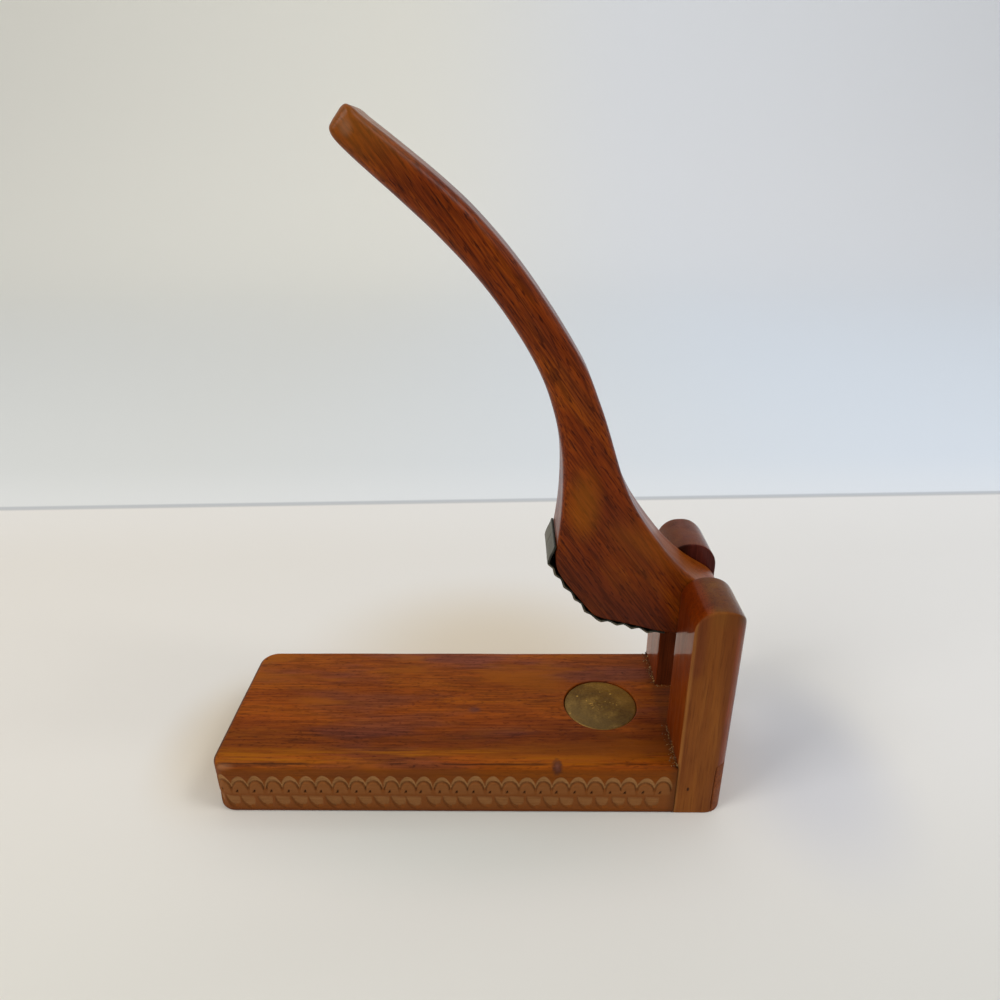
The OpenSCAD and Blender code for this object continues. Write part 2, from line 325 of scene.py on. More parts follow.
def wood(name, rot, colours, seed=0.0, coat=0.3, coat_rough=0.18, rough=(0.38, 0.55), streak=0.5, pores=0.5,
         patch=None, extra=None, spec=0.07, bump=0.12, fibre=0.55, figure=(7, 110, 110), line=(34, 900, 900),
         line_at=(0.53, 0.63), pore=(190, 3600, 3600), pore_at=(0.64, 0.72), area=(6, 34, 34), coat_ior=1.2,
         fine=(60, 2400, 2400), coat_tint=(1, 1, 1)):
    """Stained hardwood. rot turns the object's axes so that the grain runs along the texture's X.
    colours: dark, middle, light; patch: colour and strength of broad warmer areas."""
    g = Graph(name)
    dark, mid, light = colours
    base = g.mapping(g.coord, rot=rot, loc=(seed, seed * 0.7, seed * 1.3))
    # a slow wander, so that the grain isn't ruled straight
    wander = g.t.nodes.new("ShaderNodeTexNoise")
    g.link(g.mapping(base, scale=(9, 22, 22)), wander.inputs["Vector"])
    wander.inputs["Scale"].default_value = 1.0
    wander.inputs["Detail"].default_value = 2.0
    add = g.t.nodes.new("ShaderNodeVectorMath")
    add.operation = "MULTIPLY_ADD"
    g.link(wander.outputs["Color"], add.inputs[0])
    add.inputs[1].default_value = (0.0, 0.0030, 0.0030)
    g.link(base, add.inputs[2])
    v = add.outputs[0]

    bands = g.noise(g.mapping(v, scale=figure), detail=5, rough=0.62, dist=0.3)
    col = g.ramp(bands, [(0.30, dark), (0.50, mid), (0.70, light)])
    if patch:
        broad = g.noise(g.mapping(v, scale=area, loc=(3.1, 1.7, 0.4)), detail=3, rough=0.55)
        col = g.mix(g.range(broad, 0.48, 0.64, 0.0, patch[1]), col, patch[0])
    # long dark streaks
    s1 = g.noise(g.mapping(v, scale=line), detail=4, rough=0.65, dist=0.15)
    m1 = g.range(s1, line_at[0], line_at[1], 0.0, streak)
    col = g.mix(m1, col, (0.33, 0.25, 0.20), "MULTIPLY")
    # fine fibres, light and dark
    s2 = g.noise(g.mapping(v, scale=fine), detail=3, rough=0.6)
    col = g.mix(g.range(s2, 0.36, 0.62, 0.0, 1.0), g.mix(fibre, col, (0.55, 0.50, 0.46), "MULTIPLY"), g.mix(fibre, col, (1.35, 1.30, 1.25), "MULTIPLY"))
    # pores: short dark dashes
    s3 = g.noise(g.mapping(v, scale=pore, loc=(0.3, 0.9, 0.2)), detail=1, rough=0.4)
    m3 = g.range(s3, pore_at[0], pore_at[1], 0.0, pores)
    col = g.mix(m3, col, (0.22, 0.16, 0.14), "MULTIPLY")
    rv = g.noise(g.mapping(v, scale=(40, 160, 160)), detail=3, rough=0.6)
    ro = g.range(rv, 0.3, 0.7, rough[0], rough[1])
    height = g.math("SUBTRACT", g.math("MULTIPLY", s2, 0.5), g.math("ADD", m3, g.math("MULTIPLY", m1, 0.6)))
    dull = None
    if extra:
        col, ro, height, dull = extra(g, v, col, ro, height)
    g.link(col, g.bsdf.inputs["Base Color"])
    g.link(ro, g.bsdf.inputs["Roughness"])
    g.bsdf.inputs["Specular IOR Level"].default_value = spec
    g.bsdf.inputs["Coat Roughness"].default_value = coat_rough
    g.bsdf.inputs["Coat IOR"].default_value = coat_ior
    g.bsdf.inputs["Coat Tint"].default_value = (*coat_tint, 1)
    if coat:
        worn = g.math("MULTIPLY", g.range(s2, 0.35, 0.60, 0.72, 1.0), g.range(rv, 0.35, 0.60, 0.75, 1.0))
        worn = g.math("MULTIPLY", worn, coat)
        g.link(worn if dull is None else g.math("MULTIPLY", dull, worn), g.bsdf.inputs["Coat Weight"])
    g.link(g.bump(height, bump, 0.0004), g.bsdf.inputs["Normal"])
    return g.mat


def base_extra(g, v, col, ro, height):
    x, y, z = g.split(g.coord)
    # front and end faces: browner and matter than the top
    side = g.range(z, 0.0222, 0.0240, 1.0, 0.0)
    # broad warm areas on the top, a faint stain and a few dark dots
    warm = g.noise(g.mapping(v, scale=(16, 60, 60), loc=(7.3, 2.1, 4.4)), detail=3, rough=0.6)
    col = g.mix(g.range(warm, 0.50, 0.66, 0.0, 0.65), col, (0.300, 0.076, 0.003))
    # painted shade: the top darker and bluer round the posts' feet and under the lever's head
    shade_under_head = g.range(g.dist((83.0, -6.0, 24.2), (1.25, 0.62, 0.2)), 4.0, 24.0, 0.90, 0.0)
    col = g.mix(shade_under_head, col, g.mix(1.0, col, (0.58, 0.55, 1.1), "MULTIPLY"))
    band = g.math("MULTIPLY", g.range(y, -0.0335, -0.0290, 0.0, 1.0), g.range(y, -0.0220, -0.0090, 1.0, 0.0))
    band = g.math("MULTIPLY", band, g.range(x, 0.040, 0.070, 1.0, 0.35))
    col = g.mix(band, col, g.mix(1.0, col, (0.62, 0.60, 0.95), "MULTIPLY"))
    # painted sheen: the top lighter and bluer towards the back, where it is seen at a low angle
    rear = g.range(y, 0.004, 0.032, 0.0, 0.6)
    col = g.mix(rear, col, g.mix(1.0, col, (1.10, 1.25, 2.5), "MULTIPLY"))
    stain = g.range(g.dist((1.5, -4.0, 24.2), (0.7, 1.0, 0.2)), 0.4, 3.0, 0.55, 0.0)
    col = g.mix(stain, col, (0.070, 0.030, 0.030))
    dots = g.range(g.voronoi(g.mapping(g.coord, scale=(70, 70, 70), loc=(0.4, 0.7, 0.0))), 0.030, 0.055, 0.7, 0.0)
    col = g.mix(dots, col, (0.045, 0.012, 0.005))
    col = g.mix(g.math("MULTIPLY", side, 0.85), col, g.mix(0.70, col, (0.170, 0.046, 0.003)))
    # the carved band is dustier than the plain wood above it
    dust = g.math("MULTIPLY", g.range(z, 0.0145, 0.0185, 1.0, 0.0), g.range(z, 0.0015, 0.0050, 0.45, 1.0))
    col = g.mix(g.math("MULTIPLY", dust, 0.75), col, (0.225, 0.072, 0.016))
    # painted shade: darker along the bottom edge, where the board meets the floor
    col = g.mix(g.range(z, 0.0004, 0.0024, 0.65, 0.0), col, (0.10, 0.024, 0.006))
    # golden sapwood streak along the front of the top
    near_front = g.math("MULTIPLY", g.range(y, -0.0372, -0.0345, 0.0, 1.0), g.range(y, -0.0310, -0.0255, 1.0, 0.0))
    wob = g.noise(g.mapping(g.coord, scale=(22, 420, 60), loc=(5.2, 0, 0)), detail=3, rough=0.6)
    gold = g.math("MULTIPLY", near_front, g.range(wob, 0.40, 0.62, 0.0, 0.85))
    gold = g.math("MULTIPLY", gold, g.range(z, 0.0225, 0.0236, 0.0, 1.0))
    gold = g.math("MULTIPLY", gold, g.range(x, 0.040, 0.065, 1.0, 0.35))
    streaks = g.noise(g.mapping(g.coord, scale=(30, 1500, 200), loc=(2.2, 0, 0)), detail=3, rough=0.6)
    gold = g.math("MULTIPLY", gold, g.range(streaks, 0.38, 0.60, 0.25, 1.0))
    col = g.mix(gold, col, (0.330, 0.098, 0.001))
    # thin dark line below it, along the front edge
    line_w = g.noise(g.mapping(g.coord, scale=(30, 30, 400), loc=(1.4, 0, 0)), detail=3, rough=0.6)
    off = g.math("MULTIPLY", g.math("SUBTRACT", line_w, 0.5), 0.0022)
    yy = g.math("ADD", y, off)
    line = g.math("MULTIPLY", g.range(yy, -0.0366, -0.0361, 0.0, 1.0), g.range(yy, -0.0359, -0.0353, 1.0, 0.0))
    line = g.math("MULTIPLY", line, g.range(line_w, 0.42, 0.56, 0.0, 0.75))
    line = g.math("MULTIPLY", line, g.range(z, 0.0225, 0.0236, 0.0, 1.0))
    col = g.mix(line, col, (0.03, 0.010, 0.004))
    # dark grime along the rounded edge of the free end
    end = g.math("MULTIPLY", g.range(x, -0.1036, -0.1026, 0.75, 0.0), g.range(z, 0.0205, 0.0225, 0.0, 1.0))
    col = g.mix(end, col, (0.050, 0.022, 0.010))
    # the knot on the front edge
    d = g.dist((36.2, -37.2, 23.6), (1.0, 0.55, 0.62))
    ring = g.noise(g.mapping(g.coord, scale=(900, 900, 900)), detail=2)
    dk = g.math("ADD", d, g.math("MULTIPLY", g.math("SUBTRACT", ring, 0.5), 1.8))
    knot = g.range(dk, 1.1, 2.9, 0.75, 0.0)
    kc = g.ramp(g.range(dk, 0.0, 2.6, 0.0, 1.0, False), [(0.0, (0.110, 0.045, 0.036)), (0.55, (0.050, 0.018, 0.014)), (1.0, (0.080, 0.026, 0.010))])
    col = g.mix(knot, col, kc)
    # carving: raw lighter cuts; dark grime and painted shade in their corners, pits and along their stabs
    cut, shade_and_grime = g.attr("cut"), g.attr("shade_and_grime")
    grain = g.noise(g.mapping(v, scale=(90, 1500, 1500)), detail=3, rough=0.6)
    raw = g.ramp(grain, [(0.30, (0.31, 0.145, 0.050)), (0.52, (0.39, 0.190, 0.068)), (0.72, (0.46, 0.230, 0.088))])
    pale = g.range(g.dist((-98.5, -36.9, 22.9), (0.30, 1.1, 1.0)), 0.3, 1.9, 0.42, 0.0)
    col = g.mix(pale, col, (0.42, 0.200, 0.090))
    col = g.mix(g.math("MULTIPLY", cut, 0.90), col, raw)
    col = g.mix(g.math("MULTIPLY", shade_and_grime, 0.90), col, (0.020, 0.007, 0.003))
    ro = g.math("ADD", ro, g.math("MULTIPLY", cut, 0.25), clamp=True)
    ro = g.math("ADD", ro, g.math("MULTIPLY", side, 0.10), clamp=True)
    # darker along the posts' feet
    foot = g.range(x, 0.0800, 0.0841, 0.0, 0.45)
    col = g.mix(foot, col, (0.045, 0.014, 0.005))
    dull = g.math("MULTIPLY", g.math("SUBTRACT", 1.0, cut), g.range(z, 0.0226, 0.0240, 0.30, 1.0))
    return col, ro, height, dull


def post_extra(sign):
    def extra(g, v, col, ro, height):
        x, y, z = g.split(g.coord)
        # outer face: golden brown and matt
        face = g.range(g.math("MULTIPLY", y, sign), 0.0368, 0.0378, 0.0, 1.0)
        tone = g.noise(g.mapping(v, scale=(18, 240, 240)), detail=3, rough=0.6)
        fc = g.ramp(tone, [(0.30, (0.193, 0.057, 0.012)), (0.52, (0.256, 0.083, 0.016)), (0.72, (0.320, 0.112, 0.020))])
        fc = g.mix(g.range(z, 0.040, 0.090, 0.0, 0.50), fc, (0.158, 0.046, 0.010))
        if sign > 0:
            # painted light: the far post's left face lighter and more orange, as lit from the left
            col = g.mix(g.range(x, 0.0842, 0.0850, 1.0, 0.0), col, g.mix(1.0, col, (1.55, 1.30, 1.0), "MULTIPLY"))
            # painted shade: the far post's inner face darker and purpler above the lever
            inner = g.math("MULTIPLY", g.range(y, 0.0132, 0.0137, 1.0, 0.0), g.range(z, 0.068, 0.076, 0.0, 1.0))
            col = g.mix(inner, col, g.mix(1.0, col, (0.66, 0.50, 1.4), "MULTIPLY"))
        else:
            # painted sheen: the near post's crown greyer and bluer towards the back
            top = g.math("MULTIPLY", g.range(z, 0.0890, 0.0945, 0.0, 1.0), g.range(x, 0.0885, 0.0920, 0.0, 1.0))
            col = g.mix(top, col, g.mix(1.0, col, (0.62, 1.05, 2.2), "MULTIPLY"))
        col = g.mix(g.math("MULTIPLY", face, 0.85), col, fc)
        if sign < 0:
            # painted shade: the near post darker and purpler on its upper part towards the disc
            near_post_upper_shade = g.math("MULTIPLY", g.range(z, 0.066, 0.072, 0.0, 1.0), g.range(x, 0.0870, 0.0905, 1.0, 0.0))
            col = g.mix(near_post_upper_shade, col, g.mix(1.0, col, (0.82, 0.74, 1.0), "MULTIPLY"))
        # painted shade on the inner faces beside the lever, where it passes between the posts
        gap_shade = g.math("MULTIPLY", g.range(g.math("MULTIPLY", y, sign), 0.0131, 0.0139, 0.85, 0.0), g.range(z, 0.0670, 0.0710, 0.0, 1.0))
        gap_shade = g.math("MULTIPLY", gap_shade, g.range(x, 0.0900, 0.0950, 1.0, 0.0))
        col = g.mix(gap_shade, col, (0.030, 0.008, 0.004))
        # painted highlight along the arris towards the disc; painted shade, darker and redder, towards the rounded back
        # corner
        arris_highlight = g.math("MULTIPLY", face, g.range(x, 0.0846, 0.0856, 0.35, 0.0))
        col = g.mix(arris_highlight, col, (0.46, 0.20, 0.05))
        back = g.math("MULTIPLY", face, g.range(x, 0.0945, 0.1015, 0.0, 0.55))
        col = g.mix(back, col, (0.175, 0.046, 0.010))
        fibre = g.noise(g.mapping(v, scale=(70, 1900, 1900), loc=(0.8, 0.1, 0.5)), detail=4, rough=0.65)
        col = g.mix(g.math("MULTIPLY", face, g.range(fibre, 0.50, 0.66, 0.0, 0.45)), col, (0.50, 0.42, 0.36), "MULTIPLY")
        ro = g.math("ADD", ro, g.math("MULTIPLY", face, 0.16), clamp=True)
        # brad's dark fleck
        fleck = g.range(g.dist((89.1, 38.1 * sign, 13.0), (1.25, 1.0, 0.62)), 0.35, 0.85, 0.9, 0.0)
        col = g.mix(fleck, col, (0.028, 0.010, 0.005))
        # darker at the foot of the face towards the disc
        foot = g.math("MULTIPLY", g.range(x, 0.0843, 0.0850, 1.0, 0.0), g.range(z, 0.0240, 0.0275, 0.6, 0.0))
        col = g.mix(foot, col, (0.03, 0.010, 0.004))
        dull = g.range(face, 0.0, 1.0, 1.0, 0.05)
        return col, ro, height, dull
    return extra


def lever_extra(g, v, col, ro, height):
    x, y, z = g.split(g.coord)
    # darker and purpler along the jaw, warmer in the middle of the head and at the tip
    across = g.math("ADD", g.math("MULTIPLY", g.math("SUBTRACT", x, 0.036), 0.607), g.math("MULTIPLY", g.math("SUBTRACT", z, 0.100), 0.794))
    wob = g.noise(g.mapping(v, scale=(22, 90, 90)), detail=3)
    edge = g.math("ADD", across, g.math("MULTIPLY", g.math("SUBTRACT", wob, 0.5), 0.016))
    low = g.math("MULTIPLY", g.range(edge, 0.001, 0.017, 0.80, 0.0), g.range(z, 0.104, 0.120, 1.0, 0.0))
    col = g.mix(low, col, g.mix(0.30, g.mix(1.0, col, (0.56, 0.56, 2.2), "MULTIPLY"), (0.098, 0.022, 0.008)))
    rim = g.math("MULTIPLY", g.range(across, 0.021, 0.031, 0.0, 0.55), g.range(z, 0.108, 0.124, 1.0, 0.0))
    rim = g.math("MULTIPLY", rim, g.range(wob, 0.36, 0.56, 0.35, 1.0))
    col = g.mix(rim, col, (0.330, 0.088, 0.003))
    heart = g.range(g.dist((66.0, 0.0, 106.0), (0.65, 0.1, 0.42)), 3.0, 12.0, 0.50, 0.0)
    col = g.mix(heart, col, g.mix(0.35, col, (0.300, 0.075, 0.002)))
    col = g.mix(g.range(g.dist((62.0, 0.0, 95.0), (1.0, 0.1, 1.0)), 8.0, 27.0, 0.5, 0.0), col, g.mix(1.0, col, (0.70, 0.64, 0.8), "MULTIPLY"))
    col = g.mix(g.range(g.dist((-8.0, 0.0, 233.0), (0.7, 0.1, 0.7)), 4.0, 22.0, 0.9, 0.0), col, g.mix(1.0, col, (0.88, 0.84, 0.8), "MULTIPLY"))
    col = g.mix(g.range(g.dist((45.0, 0.0, 128.0), (1.0, 0.1, 0.45)), 2.0, 9.0, 0.50, 0.0), col, (0.330, 0.092, 0.001))
    tip = g.range(z, 0.238, 0.257, 0.0, 0.70)
    col = g.mix(tip, col, g.mix(0.6, col, (0.330, 0.115, 0.010)))
    fleck = g.noise(g.mapping(g.coord, scale=(420, 420, 420), loc=(0.6, 2.1, 0.3)), detail=3, rough=0.6)
    col = g.mix(g.math("MULTIPLY", tip, g.range(fleck, 0.52, 0.66, 0.0, 0.40)), col, (0.120, 0.034, 0.004))
    # painted highlight: a pale spot on the near face of the tip
    col = g.mix(g.range(g.dist((-31.7, -12.6, 253.6), (1.0, 0.5, 0.8)), 0.4, 2.9, 0.30, 0.0), col, (0.42, 0.22, 0.13))
    return col, ro, height, None


# grain directions as rotations that bring the grain to the texture's X
ALONG_X = (0.0, 0.0, 0.0)
ALONG_Z = (0.0, math.radians(90), 0.0)
ALONG_Y = (0.0, 0.0, math.radians(-90))
LEVER_GRAIN = (0.0, -math.radians(54.5), 0.0)

base_mat = wood("base_wood", ALONG_X, ((0.170, 0.032, 0.003), (0.245, 0.052, 0.003), (0.310, 0.078, 0.003)), seed=0.31,
                coat=0.0, coat_rough=0.22, rough=(0.40, 0.56), streak=0.40, pores=0.42, patch=((0.165, 0.042, 0.016), 0.75),
                figure=(14, 90, 90), line=(45, 560, 760), line_at=(0.55, 0.66), pore=(420, 1250, 1800), pore_at=(0.58, 0.70),
                area=(13, 50, 50), fine=(60, 1100, 1900), extra=base_extra)
front_post_mat = wood("front_post_wood", ALONG_Z, ((0.126, 0.019, 0.001), (0.184, 0.032, 0.001), (0.238, 0.051, 0.001)), seed=0.82,
                      coat=0.9, coat_rough=0.05, rough=(0.38, 0.52), streak=0.30, pores=0.35, coat_tint=(1.0, 0.90, 0.80),
                      extra=post_extra(-1))
rear_post_mat = wood("rear_post_wood", ALONG_Z, ((0.092, 0.021, 0.007), (0.138, 0.031, 0.009), (0.178, 0.046, 0.011)), seed=1.37,
                     coat=1.0, coat_rough=0.05, rough=(0.38, 0.52), streak=0.30, pores=0.35, coat_tint=(1.0, 0.90, 0.80),
                      extra=post_extra(1))
lever_mat = wood("lever_wood", LEVER_GRAIN, ((0.126, 0.018, 0.001), (0.186, 0.031, 0.001), (0.255, 0.055, 0.001)), seed=2.05,
                 coat=0.45, coat_rough=0.24, rough=(0.30, 0.44), streak=0.50, pores=0.70, pore=(230, 1500, 1500), pore_at=(0.59, 0.70), fine=(60, 1500, 1500), fibre=0.85, patch=((0.120, 0.021, 0.004), 0.6),
                 figure=(24, 130, 130), line=(12, 1350, 1350), line_at=(0.56, 0.65), area=(14, 70, 70), extra=lever_extra)
rail_mat = wood("rail_wood", ALONG_Y, ((0.165, 0.040, 0.010), (0.225, 0.062, 0.016), (0.270, 0.080, 0.022)), seed=3.4,
                coat=0.0, coat_rough=0.25, rough=(0.42, 0.6), streak=0.4, pores=0.5)


def brass():
    g = Graph("aged_brass")
    v = g.mapping(g.coord, scale=(1000, 1000, 1000), loc=(4.0, 2.0, 0))
    big = g.noise(v, scale=0.14, detail=4, rough=0.6)
    fine = g.noise(v, scale=1.1, detail=4, rough=0.7)
    col = g.ramp(big, [(0.32, (0.105, 0.050, 0.009)), (0.50, (0.185, 0.091, 0.015)), (0.66, (0.300, 0.160, 0.030))])
    col = g.mix(g.range(fine, 0.46, 0.66, 0.0, 0.60), col, (0.090, 0.052, 0.016))
    x, y, z = g.split(g.coord)
    # greyer on the left, more golden at the back right
    turn = g.math("ADD", g.math("SUBTRACT", x, 0.0574), g.math("MULTIPLY", y, 1.2))
    col = g.mix(g.range(turn, -0.020, 0.004, 0.50, 0.0), col, (0.245, 0.158, 0.056))
    col = g.mix(g.range(turn, 0.000, 0.022, 0.0, 0.45), col, (0.250, 0.106, 0.005))
    bright = g.attr("bright")
    col = g.mix(bright, col, (0.80, 0.44, 0.07))
    g.link(col, g.bsdf.inputs["Base Color"])
    g.bsdf.inputs["Metallic"].default_value = 0.9
    g.link(g.math("SUBTRACT", g.range(fine, 0.3, 0.7, 0.42, 0.62), g.math("MULTIPLY", bright, 0.15)), g.bsdf.inputs["Roughness"])
    g.link(g.bump(fine, 0.25, 0.0003), g.bsdf.inputs["Normal"])
    return g.mat


def dark_sheet():
    g = Graph("dark_sheet_metal")
    v = g.mapping(g.coord, scale=(1000, 1000, 1000))
    big = g.noise(v, scale=0.25, detail=3, rough=0.6)
    fine = g.noise(v, scale=2.0, detail=4, rough=0.7)
    col = g.ramp(big, [(0.35, (0.018, 0.019, 0.013)), (0.6, (0.040, 0.042, 0.030)), (0.75, (0.075, 0.072, 0.052))])
    # paler on the scratched flat at the top of the strip, and painted glints on the crests and their edges
    worn = g.attr("worn")
    col = g.mix(g.math("MULTIPLY", worn, g.range(fine, 0.3, 0.6, 0.40, 1.0)), col, (0.172, 0.150, 0.104))
    rust = g.range(g.noise(v, scale=0.5, detail=3), 0.62, 0.72, 0.0, 0.4)
    col = g.mix(rust, col, (0.09, 0.040, 0.016))
    g.link(col, g.bsdf.inputs["Base Color"])
    g.bsdf.inputs["Metallic"].default_value = 0.6
    g.link(g.range(fine, 0.3, 0.7, 0.38, 0.60), g.bsdf.inputs["Roughness"])
    g.link(g.bump(fine, 0.2, 0.0002), g.bsdf.inputs["Normal"])
    return g.mat


def steel():
    g = Graph("dull_steel")
    v = g.mapping(g.coord, scale=(1000, 1000, 1000))
    fine = g.noise(v, scale=1.6, detail=4, rough=0.7)
    g.link(g.ramp(fine, [(0.3, (0.20, 0.19, 0.18)), (0.7, (0.42, 0.41, 0.40))]), g.bsdf.inputs["Base Color"])
    g.bsdf.inputs["Metallic"].default_value = 1.0
    g.link(g.range(fine, 0.3, 0.7, 0.30, 0.48), g.bsdf.inputs["Roughness"])
    g.link(g.bump(fine, 0.1, 0.0002), g.bsdf.inputs["Normal"])
    return g.mat


def glue():
    g = Graph("dried_glue")
    v = g.mapping(g.coord, scale=(1000, 1000, 1000))
    fine = g.noise(v, scale=0.9, detail=3)
    g.link(g.ramp(fine, [(0.40, (0.10, 0.036, 0.008)), (0.56, (0.24, 0.105, 0.025)), (0.68, (0.62, 0.38, 0.12))]), g.bsdf.inputs["Base Color"])
    g.bsdf.inputs["Roughness"].default_value = 0.32
    g.bsdf.inputs["Transmission Weight"].default_value = 0.0
    g.link(g.bump(fine, 0.3, 0.0002), g.bsdf.inputs["Normal"])
    return g.mat


brass_mat, sheet_mat, steel_mat, glue_mat = brass(), dark_sheet(), steel(), glue()

# ---------------------------------------------------------------- camera
CAM = np.array([17.636, -257.134, 243.312])
yaw, pitch, roll = (math.radians(a) for a in (-0.917, 24.812, -0.484))
fwd = np.array([math.sin(yaw) * math.cos(pitch), math.cos(yaw) * math.cos(pitch), -math.sin(pitch)])
right = np.array([math.cos(yaw), -math.sin(yaw), 0.0])
up = np.cross(right, fwd)
right2 = math.cos(roll) * right + math.sin(roll) * up
up2 = -math.sin(roll) * right + math.cos(roll) * up
cam_data = bpy.data.cameras.new("camera")
cam_data.sensor_width = 36.0
cam_data.lens = 36.0 * 728.193 / 1000.0
cam_data.clip_start, cam_data.clip_end = 0.01, 100
cam = bpy.data.objects.new("camera", cam_data)
scene.collection.objects.link(cam)
m = Matrix.Identity(4)
for r_ in range(3):
    m[r_][0], m[r_][1], m[r_][2], m[r_][3] = right2[r_], up2[r_], -fwd[r_], CAM[r_] * MM
cam.matrix_world = m
scene.camera = cam


# ---------------------------------------------------------------- base board
def ellipse(u, v, a, b):
    return np.sqrt((u / a) ** 2 + (v / b) ** 2)


def carve_depth(s, z, rows):
    """Depth of the carving at distance s along its run and height z. rows holds, for each repeat, its centre and its
    own small differences, because it was cut by hand."""
    depth = np.zeros_like(s)
    dark = np.zeros_like(s)
    cut = np.zeros_like(s)
    for c, h, w, t_off, t_w, t_h, t_d, p_off, lean in rows:
        sel = np.abs(s - c) < 9.0
        if not sel.any():
            continue
        u, zz = c - s[sel], z[sel] + 0.0
        u = u - lean * (zz - 14.0)
        # arch: a crescent that slopes in from its outer line to a stab along its inner one
        half = 3.52 * w
        rise = np.maximum(zz - 13.6, 0)
        outer = (np.abs(u) / half) ** 1.9 + (rise / (5.75 + h)) ** 1.6
        inner = ellipse(u, np.maximum(zz - 11.6, 0), 3.10 * w, 4.50 + h * 0.6)
        span = np.clip((1.0 - outer) / np.maximum((1.0 - outer) + (inner - 1.0), 1e-3), 0, 1)
        foot = step01(11.3, 12.5, zz)
        inside = (outer < 1.0) & (inner > 1.0)
        d = np.where(inside, (0.10 + 0.85 * span ** 0.9) * step01(0.0, 0.08, span) * foot, 0.0)
        # worn rim of the petal
        rim = np.where(inner <= 1.0, 0.50 * step01(0.84, 1.0, inner) * foot, 0.0)
        # pit under the petal
        pu, pz = u - p_off - 0.25 * (zz - 10.8), zz - 10.8
        tri = np.maximum(np.abs(pu) * 1.9 + pz * 0.55, -pz * 1.05)
        pit = 0.95 * step01(0.95, 0.20, tri)
        # tooth: flat along its top, upright on the right, swept on the left
        tu = c - s[sel] - t_off
        top, bot, a, x0 = 8.9, 2.1 - t_h, 3.0 * t_w, 0.5
        drop = np.maximum(top - zz, 0) / (top - bot)
        left = (np.abs(x0 - tu) / (a + x0)) ** 1.9 + drop ** 2.1
        right = (np.abs(tu - x0) / (a - x0)) ** 5 + drop ** 3.2
        rho = np.where(tu < x0, left, right)
        dl = np.where(tu < x0, (1.0 - np.sqrt(left)) * 3.4, (1.0 - right ** 0.25) * 2.6)
        flank = np.where(tu < x0, 2.4, 1.9)
        slope = 0.13 * (top - zz) + 0.02 * (a - tu) + 0.02
        lip = step01(top + 0.05, top - 0.5, zz)
        td = np.clip(np.minimum(dl * flank, slope), 0, 1.0) * t_d * lip
        td = np.where((zz < top + 0.05) & (rho < 1), td, 0.0)
        depth[sel] = np.maximum.reduce([depth[sel], d, rim, pit, td])
        # painted shade and grime: dark pits, a dark line along each arch's inner stab, and a dark line round each
        # tooth, darker on its left
        line = np.where(zz > 11.5, step01(0.93, 0.985, inner) * step01(1.06, 1.0, inner), 0.0) * (0.58 + 0.25 * step01(14.8, 12.6, zz))
        edge = np.where(zz < top - 0.8, step01(0.86, 0.99, rho) * step01(1.14, 1.0, rho), 0.0) * np.where(tu < x0 + 0.4, 0.50, 0.22)
        dark[sel] = np.maximum.reduce([dark[sel], step01(0.15, 0.7, pit), line, edge])
        now = np.where(inside, step01(0.0, 0.05, span) * step01(1.0, 1.03, inner), 0.0) * step01(12.2, 13.8, zz)
        facet = (td > 0.0) & (dl * flank >= slope - 0.02)
        now = np.maximum(now, np.where(facet, step01(0.0, 0.30, td) * 0.52, 0.0))
        now = np.maximum(now, np.where((inner <= 0.95) & (zz > 9.2), 0.20 * step01(9.2, 10.6, zz), 0.0))
        cut[sel] = np.maximum(cut[sel], now)
    return depth, cut, dark


def repeats(length, pitch, seed, start):
    rng = np.random.default_rng(seed)
    n = int((length - start) / pitch) + 1
    rows = []
    for k in range(n):
        j = rng.normal(size=8)
        rows.append((start + k * pitch + 0.22 * j[0], 0.28 * j[1], 1 + 0.03 * j[2], -4.0 + 0.30 * j[3], 1 + 0.06 * j[4],
                     0.25 * j[5], 1 + 0.12 * j[6], -1.15 + 0.30 * j[7], 0.02 * j[0]))
    return rows


